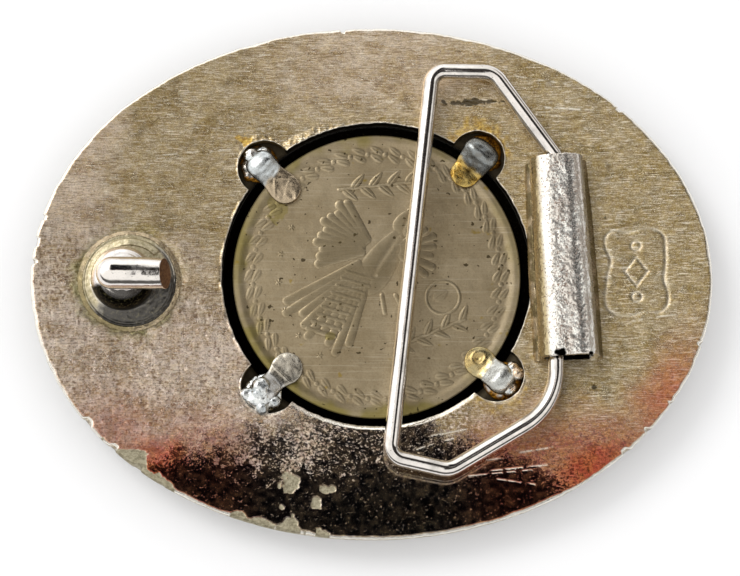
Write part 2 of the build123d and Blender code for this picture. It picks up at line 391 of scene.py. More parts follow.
def plate_material():
    """Worn nickel plate: brushed above and at the right, a specked polished zone below painted dark as its
    black reflection, flaked at the rim, with painted red reflections and painted edge highlights.
    """
    n = new_nodes("worn_nickel_plate")
    grain, painted_red_reflection, flake = n.value("grain"), n.value("painted_red_reflection"), n.value("flake")
    streak = n.noise((1.5, 0.13, 1.0), 6, 0.72, 0.2, turn=0.05)
    fine_streak = n.noise((0.8, 0.07, 1.0), 4, 0.7, 0.3, turn=0.14)
    grit = n.noise((0.17, 0.14, 0.17), 3, 0.8)
    cloud = n.noise((6.0, 2.6, 5.0), 6, 0.65)
    mottle = n.noise((0.42, 0.36, 0.42), 6, 0.75, 0.6)
    peel = n.noise((0.24, 0.22, 0.24), 3, 0.75, 0.4)
    dots = n.noise((0.42, 0.34, 0.42), 4, 0.72, 0.5)

    def clouded(dark, light):
        return n.pair(cloud, 0.38, 0.62, dark, light)

    def mottled(dark, light, low=0.4, high=0.6):
        return n.pair(mottle, low, high, dark, light)

    # The polished zone below (calm) is smooth, with a darker base colour that is painted reflection; its edge
    # breaks up into dots, and white dots are scattered over it.
    calm = n.step((dots - 0.5) * 2.6 + n.value("calm"), 0.42, 0.66)
    speck = n.step(dots - n.blend(n.value("speck"), 0.74, 0.465), 0.0, 0.03)
    speck = speck * n.step(calm, 0.1, 0.6) * (1 - painted_red_reflection)
    light_fleck = n.math("MAXIMUM", n.step(streak, 0.54, 0.60), n.step(grit, 0.56, 0.61) * 0.8)
    dark_fleck = n.math("MAXIMUM", n.step(streak, 0.46, 0.38), n.step(grit, 0.44, 0.39) * 0.8)
    color = n.over(
        clouded((146, 128, 95), (178, 162, 133)),
        ("beige", clouded((136, 122, 92), (160, 146, 118))),
        ("warm", clouded((200, 174, 152), (240, 220, 206))),
        (light_fleck * 0.85, (250, 242, 226)),
        (dark_fleck * 0.7, (82, 66, 38)),
        (n.step(dots, 0.52, 0.60) * grain * 0.72, (252, 236, 226)),
        (n.step(dots, 0.46, 0.38) * grain * 0.7, (112, 84, 72)),
        (n.step(mottle, 0.47, 0.34) * n.blend(grain, 0.3, 0.62), (104, 78, 62)),
        # Painted reflection: the polished zone's darker colour stands in for the dark studio it mirrors.
        (calm, mottled((92, 88, 88), (118, 115, 116), 0.35, 0.65)),
        (speck * 0.9, mottled((150, 128, 118), (236, 222, 212))),
        # Painted reflection: a red glow on the lower rim and the lower corners.
        (painted_red_reflection, mottled((116, 30, 26), (184, 74, 64), 0.3, 0.6)),
        ("flux", mottled((148, 108, 30), (226, 190, 96))),
        ("verdigris", mottled((104, 98, 48), (190, 184, 134))),
        ("scratch", (252, 246, 232)),
        # Painted highlight: near white along the rim and the opening's edge, brown-gold towards the bottom.
        ("edge", n.mix(n.value("copper"), (252, 248, 238), (176, 134, 100))),
        (flake, mottled((134, 126, 104), (180, 172, 148), 0.38, 0.6)),
        # Near black: painted shade on the opening's walls, painted shadow under the bail, and dark spots.
        ("soot", (20, 15, 8)),
    )
    roughness = n.blend(n.step(cloud, 0.3, 0.7), 0.23, 0.30)
    dull = ((calm, 0.015), (speck, 0.45), (flake, 0.5), ("verdigris", 0.55), ("flux", 0.45), ("soot", 0.7))
    height = (streak * 1.6 + fine_streak * 0.7) * (1 - grain) + peel * (grain * 1.5) + grit * 0.35
    height = height * (1 - calm * 0.985) + speck * 0.4
    return n.surface(color, n.levels(roughness, *dull), height, 0.022)


def coin_material():
    """Worn copper-nickel: olive-grey fields, cream high points, dark pits, yellow-green grime and painted
    shade on the edge.
    """
    n = new_nodes("coin_cupronickel")
    cloud = n.noise((6.0, 5.0, 6.0), 6, 0.65)
    grit = n.noise(0.3, 4, 0.75)
    pits = n.noise(0.62, 1, 0.3)
    stain = n.noise(1.9, 2, 0.5)
    hair = n.noise((7.0, 0.12, 1.0), 2, 0.5, turn=-0.1)
    color = n.over(
        n.pair(cloud, 0.3, 0.7, (150, 134, 106), (172, 156, 128)),
        (n.step(grit, 0.45, 0.7) * 0.4, (118, 100, 72)),
        (n.step(hair, 0.58, 0.72) * 0.3, (222, 210, 186)),
        (n.value("relief") * 0.30, (214, 200, 172)),
        (n.value("grime") * 0.7, (134, 122, 54)),
        (n.step(stain, 0.70, 0.76) * 0.6, (150, 124, 30)),
        (n.step(pits, 0.73, 0.755) * 0.85, (58, 48, 30)),
        (n.value("hollow") * 0.75, (86, 74, 46)),
        # Painted shade on the coin's edge and outer rings, in the gap.
        ("soot", (18, 14, 8)),
    )
    roughness = n.levels(n.blend(n.step(grit, 0.35, 0.7), 0.32, 0.46), ("soot", 0.7))
    return n.surface(color, roughness, grit + hair, 0.008)


def solder_material():
    """Soft solder: bright where it ran, greyed by flux, browner and darker the lower it lies in its pocket.
    """
    n = new_nodes("soft_solder")
    cloud = n.noise(1.1, 4, 0.6)
    fine = n.noise(0.25, 4, 0.7)
    color = n.over(
        n.pair(cloud, 0.35, 0.65, (176, 182, 184), (236, 238, 236)),
        (n.step(fine, 0.45, 0.3) * 0.5, (112, 108, 100)),
        ("grime", n.pair(fine, 0.4, 0.6, (70, 48, 22), (168, 118, 44))),
        ("flux", (196, 142, 48)),
    )
    roughness = n.levels(n.blend(n.step(fine, 0.35, 0.65), 0.16, 0.34), ("grime", 0.5))
    return n.surface(color, roughness, cloud + fine, 0.03)


def tab_material(name, knee_tone, pad_tone):
    """Bent strip metal: solder-wetted knee, bare pad, darker towards its edges, and painted shade where it
    dips low.
    """
    n = new_nodes(name)
    cloud = n.noise(1.2, 4, 0.6)
    fine = n.noise(0.2, 4, 0.7)
    pad = n.value("pad")
    clean = n.mix(pad, knee_tone, pad_tone)
    darker = n.mix(n.blend(pad, 0.45, 0.25), clean, (104, 96, 84))
    color = n.over(
        n.pair(cloud, 0.38, 0.62, darker, clean),
        (n.step(fine, 0.5, 0.72) * 0.35, (104, 92, 68)),
        ("flux", n.pair(fine, 0.4, 0.6, (132, 88, 14), (212, 176, 92))),
        # Painted shade where a tab dips into its pocket or a seam lies beside the barrel, and darker edges.
        ("grime", (36, 26, 12)),
    )
    return n.surface(color, n.blend(n.step(fine, 0.35, 0.65), 0.2, 0.38), cloud + fine, 0.015)


def polished_material():
    """Bright nickel with hairlines and faint pits, and where it is marked so, worn matt or darkened: painted
    shade on the hook, grime on the bail.
    """
    n = new_nodes("polished_nickel")
    hair = n.noise((1.6, 0.07, 0.07), 2, 0.5, turn=0.5)
    cloud = n.noise(2.5, 4, 0.6)
    pits = n.noise(0.3, 2, 0.6)
    mottle = n.noise(0.4, 5, 0.8)
    tone = (238, 232, 226)
    color = n.over(
        n.pair(cloud, 0.35, 0.7, tone, dimmed(tone, 0.82)),
        (n.step(pits, 0.66, 0.74) * 0.6, (96, 80, 58)),
        ("tan", n.pair(mottle, 0.35, 0.62, (142, 130, 88), (202, 190, 158))),
        ("rust", n.pair(mottle, 0.35, 0.62, (92, 54, 34), (156, 116, 86))),
        # Painted shade on the hook; grime on the bail.
        ("grime", n.pair(mottle, 0.5, 0.7, (20, 18, 14), (96, 90, 64))),
    )
    roughness = n.blend(n.step(hair, 0.5, 0.7), 0.07, 0.16)
    roughness = n.levels(roughness, ("tan", 0.5), ("rust", 0.4), ("grime", 0.3))
    return n.surface(color, roughness, hair + pits, 0.003)


def barrel_material():
    """Cast nickel: bright skin broken up by fine dark pores, denser and darker along the crest as painted
    dark reflection, with painted tan shade on the left flank and painted shade inside the bore.
    """
    n = new_nodes("cast_nickel")
    pores = n.noise((0.17, 0.22, 0.17), 2, 0.6, 0.5)
    cloud = n.noise((1.6, 4.0, 1.6), 4, 0.6)
    tint = n.noise((0.5, 0.6, 0.5), 2, 0.6)
    crest = n.value("crest")
    # Along the crest the pores are denser and darker: painted reflection of a dark band.
    dark = n.step(pores - n.blend(crest, 0.59, 0.51), 0.0, 0.025)
    color = n.over(
        n.pair(cloud, 0.35, 0.65, (226, 218, 208), (255, 253, 246)),
        # Painted shade: tan on the left flank.
        ("flank", (176, 160, 124)),
        (dark * n.blend(crest, 0.72, 0.92), n.pair(tint, 0.4, 0.6, (62, 50, 40), (150, 120, 100))),
        # Painted shade inside the bore and in the notches at its end.
        ("soot", (12, 10, 8)),
    )
    roughness = n.levels(n.blend(dark, 0.24, 0.5), ("soot", 0.8))
    return n.surface(color, roughness, tint - dark * 0.5, 0.03)


def face_material(name, tone, shade):
    """Nickel silver of the face: bright high points with dark polish left in the hollows, and painted shade
    where a part lies in the gap or under the back plate.
    """
    n = new_nodes(name)
    cloud = n.noise(3.0, 4, 0.6)
    fine = n.noise(0.3, 4, 0.7)
    color = n.over(
        n.pair(cloud, 0.35, 0.65, tone, dimmed(tone, 0.85)),
        ("hollow", shade),
        (n.step(fine, 0.55, 0.75) * 0.25, (120, 110, 88)),
    )
    roughness = n.levels(n.blend(n.step(fine, 0.3, 0.7), 0.2, 0.3), ("hollow", 0.5))
    return n.surface(color, roughness, fine, 0.008)


# ---------------------------------------------------------------- back plate

PLATE_COLUMNS = 2200
PLATE_ROWS = 150

# Chips knocked out of the rim: where round the oval in degrees, half width in degrees, depth in mm.
RIM_CHIPS = (
    (172, 1.6, 0.35),
    (176.5, 0.8, 0.45),
    (166, 0.7, 0.3),
    (214, 1.2, 0.5),
    (221, 1.0, 0.55),
    (227, 0.8, 0.5),
    (95, 0.5, 0.3),
    (318, 1.1, 0.45),
    (324, 0.8, 0.5),
    (331, 0.7, 0.35),
    (345, 0.5, 0.35),
    (42, 0.5, 0.3),
)

# Plating flaked off along the rim: where round the oval in degrees, half width in degrees, reach in mm.
RIM_FLAKES = (
    (225.5, 2.6, 2.4),
    (231.5, 4.0, 1.1),
    (220, 2.0, 0.5),
    (247, 2.6, 0.7),
    (251.5, 3.0, 0.9),
    (256, 1.8, 1.8),
    (260.5, 3.2, 0.7),
)

# Flaked islands inside the rim: centre and half sizes.
FLAKE_ISLANDS = (
    ((-10.5, -26.8), (1.4, 1.0)),
    ((-5.8, -27.6), (0.95, 0.5)),
    ((-7.2, -29.2), (0.55, 0.75)),
    ((-11.5, -29.9), (0.3, 0.3)),
)

# Long scratches: start, end and strength.
PLATE_SCRATCHES = (
    ((22.5, 23.0), (31.5, 22.6), 0.9),
    ((-27.5, 16.6), (-18.5, 17.6), 0.45),
    ((15.5, -25.2), (23.6, -24.2), 0.9),
    ((12.6, -25.9), (20.7, -25.0), 0.8),
    ((16.3, -26.3), (21.4, -26.9), 0.8),
    ((19.2, -22.7), (23.4, -22.0), 0.7),
    ((13.4, -24.0), (17.6, -23.4), 0.6),
    ((5.9, -22.4), (10.6, -21.0), 0.8),
    ((7.2, -20.8), (12.4, -19.7), 0.7),
    ((19.2, 27.4), (25.8, 26.2), 0.5),
    ((34.0, -5.6), (41.0, -4.6), 0.5),
    ((28.0, 24.6), (34.0, 24.0), 0.3),
    ((-14.0, 14.4), (-9.0, 15.6), 0.4),
)

# Flux stains round the pockets: tab, lean round the coin in radians, reach in mm and strength.
FLUX_STAINS = (
    ("upper_right", 0.03, 1.0, 0.8),
    ("lower_right", -0.03, 1.1, 0.75),
    ("upper_left", 0.12, -0.2, 0.25),
    ("lower_left", 0.02, -0.2, 0.2),
)

# How far they lie from the coin's axis.
FLUX_DISTANCE = 21.6

# The generic stamp beside the barrel: a rounded frame with a diamond and two rings.
STAMP_CENTRE = (34.7, 1.0)
STAMP_HALF = (3.7, 5.6)
STAMP_CORNER = 1.4
STAMP_LINE = 0.22
STAMP_DIAMOND = (1.5, 1.9)
STAMP_RING = 0.62
STAMP_RING_DISTANCE = 3.4

# Painted shade on the wall of the opening, and of its pockets: how dark each is painted.
WALL_SHADE = 0.97
POCKET_SHADE = 0.55


def opening_edge(angle):
    """Distance of the opening's edge from the coin's axis, pockets included."""
    edge = np.full_like(angle, OPENING_RADIUS)
    for tab_angle in tab_angles.values():
        offset = (angle - tab_angle + math.pi) % TURN - math.pi
        inside = POCKET_RADIUS**2 - (POCKET_DISTANCE * np.sin(offset)) ** 2
        lobe = POCKET_DISTANCE * np.cos(offset) + np.sqrt(np.maximum(inside, 0))
        edge = np.maximum(edge, np.where((inside > 0) & (np.abs(offset) < 1), lobe, 0))
    return edge


def rim_edge(angle, margin=0.0):
    """Distance of the oval's rim, less margin, from the coin's axis."""
    a, b = half_long - margin, half_short - margin
    c, s = np.cos(angle), np.sin(angle)
    x0, y0 = coin_middle[0], coin_middle[1]
    square = (c / a) ** 2 + (s / b) ** 2
    cross = c * x0 / a**2 + s * y0 / b**2
    rest = (x0 / a) ** 2 + (y0 / b) ** 2 - 1
    return (-cross + np.sqrt(cross**2 - square * rest)) / square


def oval_angle(x, y):
    """Where (x, y) lies round the oval, in degrees from 0 to 360."""
    return np.degrees(np.arctan2(y / half_short, x / half_long)) % 360


def coin_angle(x, y):
    """Where (x, y) lies round the coin, in degrees from 0 to 360."""
    return np.degrees(np.arctan2(y - coin_middle[1], x - coin_middle[0])) % 360


def stamp_height(x, y):
    """Depth of the stamped lines at (x, y), from 0 to 1."""
    dx, dy = np.abs(x - STAMP_CENTRE[0]), np.abs(y - STAMP_CENTRE[1])
    qx, qy = dx - STAMP_HALF[0] + STAMP_CORNER, dy - STAMP_HALF[1] + STAMP_CORNER
    outline = np.hypot(np.maximum(qx, 0), np.maximum(qy, 0)) + np.minimum(np.maximum(qx, qy), 0)
    outline = outline - STAMP_CORNER + 0.45 * noise(2.4, 75, x, y)
    ring = np.hypot(dx, dy - STAMP_RING_DISTANCE)
    return highest(
        hump(outline, 0, STAMP_LINE) * (0.65 + 0.35 * noise(1.5, 76, x, y)),
        0.8 * hump(dx / STAMP_DIAMOND[0] + dy / STAMP_DIAMOND[1] - 1, 0, STAMP_LINE / 1.6),
        0.8 * hump(ring, STAMP_RING, 0.16),
    )


def flake_marks(x, y, from_rim):
    """Where the plating has come off, from 0 to 1."""
    around = oval_angle(x, y)
    ragged = 0.45 * fractal(1.3, 21, x, y) + 0.15 * noise(0.35, 24, x, y)
    patches = [spot(x, y, centre, size, 31, 0.5) for centre, size in FLAKE_ISLANDS]
    for centre, width, reach in RIM_FLAKES:
        near = hump(around, centre, width)
        patches.append(smooth_step(reach * near**0.8 + ragged * near - from_rim, -0.05, 0.05))
    return highest(*patches)


def scratch_marks(x, y):
    """The long scratches, from 0 to 1."""
    broken = smooth_step(fractal(0.9, 41, x, y), -0.6, 0.2)
    bend = 0.12 * noise(4.0, 43, x, y)
    lines = [s * hump(segment_distance(x, y + bend, start, end), 0, 0.1) for start, end, s in PLATE_SCRATCHES]
    return broken * highest(*lines)


def red_reflection_marks(x, y, from_rim, wave, low_left, low_right):
    """Painted red reflection, from 0 to 1: a patch and a band at the rim, and both lower corners."""
    around = oval_angle(x, y)
    right_band = highest(hump(around, 311, 12), 0.7 * hump(around, 332, 12))
    return highest(
        0.85 * hump(around, 228, 8.5) * smooth_step(-from_rim + 0.9 * wave, -8.0, -3.6),
        0.5 * hump(around, 219, 9) * smooth_step(-from_rim + wave, -11.0, -3.0),
        0.95 * right_band * smooth_step(-from_rim + 1.6 * wave, -7.5, -1.2),
        0.56 * low_right,
        0.44 * low_left,
    )


def flux_marks(x, y):
    """Flux stains round the pockets, from 0 to 1."""
    stains = [0.8 * spot(x, y, (-16.7, 18.7), (0.9, 0.65), 66, 0.5)]
    ragged = 0.7 * fractal(0.9, 61, x, y)
    patchy = 0.6 + 0.4 * noise(0.6, 63, x, y)
    for place, lean, reach, strength in FLUX_STAINS:
        px, py = round_coin(FLUX_DISTANCE, tab_angles[place] + lean)
        over_edge = POCKET_RADIUS - np.hypot(x - px, y - py) - ragged
        stains.append(strength * patchy * smooth_step(over_edge, -reach, 0.2 * reach))
    return np.clip(highest(*stains), 0, 1)


def plate_values(x, y, from_opening, from_rim):
    """The plate's marks at each point, each from 0 to 1."""
    wave = fractal(5.0, 11, x, y)
    low_right = smooth_step(-y + 1.8 * wave, 14, 22) * smooth_step(x, 8, 18)
    low_left = smooth_step(-y + 1.8 * wave, 14, 24) * smooth_step(-x, 12, 20)
    grain = highest(
        smooth_step(-y - 0.25 * x + 3.5 * wave, 0.0, 9.0) * smooth_step(-x + 2 * wave, -26.0, -10.0),
        smooth_step(-y - 0.9 * np.abs(x - 8) / 4, 16.0, 21.0) * smooth_step(-x, -24, -8),
        0.85 * smooth_step(-x + 3 * wave, 22, 34) * smooth_step(-y, -12, -2),
    )
    bowed = 0.006 * x**2 + 0.35 * np.maximum(x - 6, 0) + 0.2 * np.maximum(-x - 14, 0)
    calm = highest(smooth_step(-y + 1.6 * wave - bowed, 12.2, 20.2), 0.5 * low_right)
    speck = spot(x, y, (-10.5, -21.4), (9.5, 4.4), 15, 0.5) * (0.8 + 0.3 * noise(2.2, 17, x, y))
    speck = 0.1 + 0.9 * highest(speck, 0.55 * smooth_step(y + 1.5 * wave, -28, -22))
    warm = highest(
        smooth_step(-y + 4 * wave, -8, 8) * smooth_step(-x, -4, 12),
        0.5 * smooth_step(y, 20, 27) * smooth_step(np.abs(x), 22, 4),
        0.7 * smooth_step(-x + 2 * wave, 30, 38),
    )
    flake = flake_marks(x, y, from_rim)
    stamp = stamp_height(x, y)
    dx, dy = x - hook_middle[0] + 0.05, y - hook_middle[1]
    from_hook = np.hypot(dx, dy) + 0.7 * fractal(1.6, 51, x, y)
    side = 0.35 + 0.65 * smooth_step(-dy - 0.6 * dx, -4, 4)
    # Painted highlight: a bright line along the rim and the opening's edge, widest at the opening's lower
    # side.
    edge = highest(
        0.75 * smooth_step(-from_rim, -0.36, -0.2),
        0.6 * smooth_step(-from_opening, -0.2, -0.05),
        hump(coin_angle(x, y), 272, 34) * smooth_step(-from_opening, -0.62, -0.4),
    )
    # Painted shadow under the bail's top bend (the long spot at 12.6, 23.9), two small dark spots, and a dark
    # ring round the hook's foot.
    soot = 0.8 * spot(x, y, (28.9, -14.3), (0.4, 0.4), 71) + 0.7 * spot(x, y, (30.8, 8.2), (0.18, 0.18), 72)
    soot = soot + 0.75 * spot(x, y, (12.6, 23.9), (3.6, 0.4), 73, 0.7)
    soot = soot + 0.45 * hump(from_hook - 0.7 * wave, 6.6, 0.35) * side
    return {
        "grain": grain,
        "calm": calm * (1 - flake),
        "speck": speck,
        "warm": warm,
        "beige": smooth_step(x + 2 * wave, 14, 30),
        # Painted red reflection at the rim and the lower corners.
        "painted_red_reflection": red_reflection_marks(x, y, from_rim, wave, low_left, low_right) * (1 - flake),
        "flake": flake,
        "scratch": highest(scratch_marks(x, y), 0.35 * stamp) * (1 - flake),
        "verdigris": 0.8 * smooth_step(-from_hook, -8.3, -6.3) * side,
        "flux": flux_marks(x, y),
        "edge": edge * (1 - 0.6 * flake),
        "copper": smooth_step(-y + wave, 10, 20) * smooth_step(-from_rim, -3.0, -2.0),
        "soot": np.clip(soot, 0, 1),
        "stamp": stamp,
    }


def plate_relief(x, y, from_opening, values):
    """Height the marks add to the pressed plate, in millimetres."""
    lively = 1 - values["calm"]
    around = coin_angle(x, y)
    lower = hump(around, 268, 34)
    crumple = hump(around, 122, 12) * smooth_step(-from_opening, -1.3, -0.2)
    burr = smooth_step(-from_opening, -0.35, -0.1) * (1 - lower)
    from_hook = np.hypot(x - hook_middle[0], y - hook_middle[1])
    return (
        (0.002 + 0.018 * lively) * fractal(4.0, 81, x, y)
        + values["grain"] * lively * 0.012 * fractal(0.7, 82, x, y, octaves=2)
        + (1 - values["grain"]) * lively * 0.006 * fractal(0.4, 84, x / 5, y, octaves=2)
        - 0.05 * values["flake"]
        - 0.025 * values["scratch"]
        - 0.1 * values["stamp"]
        - 0.45 * lower * np.clip(1 - from_opening / 0.6, 0, 1) ** 1.5
        + crumple * (0.16 + 0.22 * fractal(0.8, 85, x, y))
        + burr * (0.05 + 0.08 * fractal(0.9, 87, x, y))
        - 0.06 * hump(from_hook, 6.75, 0.45)
    )


def build_back_plate(material):
    """The dished oval plate as one closed skin: up the opening, over the back, down the rim, under."""
    angle = np.linspace(0, TURN, PLATE_COLUMNS, endpoint=False)
    cx, cy = np.cos(angle) * 20, np.sin(angle) * 20
    inner = opening_edge(angle) + 0.05 * fractal(1.2, 91, cx, cy) + 0.03 * noise(0.35, 95, cx, cy)
    inner = inner - 0.35 * hump(np.degrees(angle), 270, 45)
    full = rim_edge(angle)
    rim_x, rim_y = round_coin(full, angle)
    around = oval_angle(rim_x, rim_y)
    jagged = 0.5 * noise(0.6, 97, rim_x, rim_y)
    chips = [d * smooth_step(-np.abs(around - c) + jagged, -w, -w * 0.5) for c, w, d in RIM_CHIPS]
    outer = full - 0.1 * np.maximum(fractal(0.9, 98, rim_x, rim_y), 0) - highest(*chips)
    bevel = 0.42 + 0.12 * fractal(3.0, 99, rim_x, rim_y)

    spread = np.linspace(0, 1, PLATE_ROWS)[:, None]
    share = spread - 0.10 * np.sin(TURN * spread) / TURN
    top_radius = inner + (outer - bevel - inner) * share
    x, y = round_coin(top_radius, angle)
    values = plate_values(x, y, top_radius - inner, full - top_radius)
    top_z = dish_z(x, y) + plate_relief(x, y, top_radius - inner, values)

    rings = []
    wall_x, wall_y = round_coin(inner, angle)
    under_z = dish_z(wall_x, wall_y, BACK_THICKNESS)
    for part in (0.0, 0.35, 0.7, 0.92):
        ragged = 0.04 * fractal(0.8, 101, wall_x, wall_y, part * 3)
        rings.append((inner + ragged * part * (1 - part) * 4, under_z + (top_z[0] - under_z) * part))
    first_top, after_top = len(rings), len(rings) + PLATE_ROWS
    rings.extend(zip(top_radius, top_z))
    edge_z, low_z = dish_z(rim_x, rim_y), dish_z(rim_x, rim_y, BACK_THICKNESS)
    for inward, part in ((0.66, 0.22), (0.33, 0.6), (0.08, 0.92)):
        rings.append((outer - bevel * inward, edge_z - bevel * 0.95 * part - 0.02 * (1 - inward)))
    for part in (0.0, 0.35, 0.7, 1.0):
        ragged = 0.03 * fractal(0.8, 103, rim_x, rim_y, part * 4) if 0 < part < 1 else 0
        height = edge_z - bevel + (low_z - edge_z + bevel) * part
        rings.append((outer - ragged + (full - outer) * part * 0.7, height))
    for part in np.linspace(0, 1, 22)[1:-1]:
        radius = outer + (inner - outer) * part
        rings.append((radius, dish_z(*round_coin(radius, angle), BACK_THICKNESS)))

    grid = np.stack([join_points(*round_coin(radius, angle), height) for radius, height in rings])
    in_pocket = inner > OPENING_RADIUS + 0.5
    stored = {key: np.zeros(grid.shape[:2]) for key in values if key != "stamp"}
    for key, rows in stored.items():
        rows[first_top:after_top] = values[key]
    # Painted highlight on the rim's bevel.
    stored["edge"][after_top : after_top + 3] = 0.9
    # Painted shade on the walls of the opening and of its pockets.
    stored["soot"][:first_top] = np.where(in_pocket, POCKET_SHADE, WALL_SHADE)
    stored["soot"][first_top] = 0.5
    stored["flux"][:first_top] = 0.6 * in_pocket
    stored["flake"][after_top : after_top + 7] = values["flake"][-1]
    faces = grid_faces(len(rings), PLATE_COLUMNS, loop=True)
    make_piece("back_plate", grid, faces, material, **stored)


# ---------------------------------------------------------------- coin

COIN_COLUMNS = 1200
COIN_ROWS = 210
COIN_RIM = 1.0
FIELD_DEPTH = 0.12
RELIEF_HEIGHT = 0.085
REEDS = 150
BORDER_LEAVES = 44
BORDER_RADIUS = 16.4


def polar(radius, turn):
    """A point at a radius and an angle round the origin."""
    return radius * math.cos(turn), radius * math.sin(turn)


def stroke(x, y, start, end, width):
    """A raised line with a rounded top."""
    far = segment_distance(x, y, start, end) / width
    return np.sqrt(np.clip(1 - far**2, 0, 1))


def leaf(x, y, centre, turn, length, width):
    """A raised leaf with a midrib."""
    dx, dy = x - centre[0], y - centre[1]
    along, over = dx * math.cos(turn) + dy * math.sin(turn), -dx * math.sin(turn) + dy * math.cos(turn)
    shape = 1 - (along / length) ** 2 - (over / (width * (1 - 0.35 * along / length))) ** 2
    body = np.sqrt(np.clip(shape, 0, 1))
    return body * (1 - 0.45 * hump(over, 0, width * 0.16))


def star(x, y, centre, size, points=5):
    """A raised star."""
    dx, dy = x - centre[0], y - centre[1]
    far, turn = np.hypot(dx, dy), np.arctan2(dy, dx)
    edge = size * (0.62 + 0.38 * np.cos(points * turn))
    return np.clip((edge - far) / (0.5 * size), 0, 1)


def fan(x, y, root, start, end, count, inner, outer, width):
    """Feathers spread from a root point between two angles, each with a rounded tip."""
    feathers = []
    for index in range(count):
        turn = math.radians(start + (end - start) * index / (count - 1))
        reach = outer * (0.93 + 0.07 * math.sin(index * 2.1))
        base, tip = np.add(root, polar(inner, turn)), np.add(root, polar(reach, turn))
        feathers.append(stroke(x, y, base, tip, width))
    return highest(*feathers)


def bird(x, y):
    """A plain bird with one wing raised and a long spread tail."""
    bars = []
    for row in range(9):
        cx, cy = np.add((-0.6, 2.6), polar(3.0 + 1.15 * row, math.radians(236)))
        bars.append(stroke(x, y, (cx - 1.7, cy + 0.5), (cx + 1.9, cy - 0.6), 0.34))
    legs = [stroke(x, y, (1.6 + side * 0.9, -2.6), (2.4 + side * 1.3, -5.0), 0.3) for side in (-1, 1)]
    return highest(
        0.85 * fan(x, y, (-0.6, 3.6), 118, 196, 11, 1.5, 7.4, 0.62),
        0.7 * fan(x, y, (-0.2, 2.8), 208, 254, 9, 2.5, 14.2, 0.55),
        0.9 * highest(*bars),
        leaf(x, y, (0.7, 2.0), math.radians(58), 5.2, 2.1),
        0.75 * fan(x, y, (2.2, 3.4), -38, 34, 6, 1.2, 5.6, 0.5),
        leaf(x, y, (3.9, 7.1), math.radians(70), 1.9, 1.5),
        0.8 * stroke(x, y, (4.4, 8.8), (6.0, 8.2), 0.32),
        0.7 * highest(*legs),
    )


def sprig(x, y, start, end, count, size):
    """A stem with leaves on both sides."""
    marks = [0.6 * stroke(x, y, start, end, 0.2)]
    run = np.subtract(end, start)
    turn = math.atan2(run[1], run[0])
    for index in range(count):
        lean = turn + (0.8 if index % 2 else -0.8)
        centre = start + run * (index + 0.5) / count + polar(size * 0.9, lean)
        marks.append(0.8 * leaf(x, y, centre, lean, size, size * 0.36))
    return highest(*marks)


def border_marks(x, y):
    """A band of generic ornament inside the rim: pairs of leaves with a bead between them."""
    height = np.zeros_like(x)
    for index in range(BORDER_LEAVES):
        turn = TURN * index / BORDER_LEAVES
        for side in (-1, 1):
            centre = polar(BORDER_RADIUS + side * 0.52, turn)
            height = highest(height, 0.6 * leaf(x, y, centre, turn + TURN / 4 - 0.55, 0.95, 0.42))
        bead_x, bead_y = polar(BORDER_RADIUS, turn + math.pi / BORDER_LEAVES)
        bead = np.hypot(x - bead_x, y - bead_y) / 0.33
        height = highest(height, 0.5 * np.sqrt(np.clip(1 - bead**2, 0, 1)))
    return height


def back_relief(x, y):
    """Relief of the coin's back, which faces out of the buckle's back."""
    disc = np.hypot(x - 8.7, y + 2.9)
    stars = [star(x, y, polar(13.0, math.radians(150 + 17 * index)), 0.5) for index in range(6)]
    return highest(
        bird(x, y),
        border_marks(x, y),
        0.55 * np.clip(1.4 - np.abs(disc - 2.2) / 0.16, 0, 1),
        0.4 * leaf(x, y, (8.4, -2.6), 0.6, 1.1, 0.7),
        sprig(x, y, (2.4, -9.6), (11.6, -5.8), 8, 1.2),
        sprig(x, y, (-5.0, 11.6), (4.6, 12.6), 8, 1.3),
        0.7 * highest(*stars),
    )


def front_relief(x, y):
    """Relief of the coin's other face: a wreath round a large star."""
    height = highest(border_marks(x, y), star(x, y, (0, 0), 7.5, 8))
    for index in range(28):
        turn = TURN * (index + 0.5) / 28
        lean = turn + TURN / 4 + (0.45 if index % 2 else -0.45)
        height = highest(height, 0.85 * leaf(x, y, polar(11.6, turn), lean, 1.6, 0.6))
    return height


def coin_side(x, y, rim, relief, base, side):
    """One face of the coin: its height, how far each point is raised, and how hollow it lies."""
    wear = 0.75 + 0.25 * fractal(5.0, 111, x, y)
    depth = FIELD_DEPTH * (1 - rim) - RELIEF_HEIGHT * relief * wear * (1 - rim)
    depth = depth + 0.006 * fractal(1.2, 113, x, y) + 0.03 * rim * (1 - wear)
    near = np.roll(relief, 2, axis=0) + np.roll(relief, -2, axis=0)
    hollow = np.clip(near - 1.2 * relief, 0, 1) * (1 - rim)
    return base - side * depth, highest(relief * wear * (1 - rim), 0.3 * rim), hollow


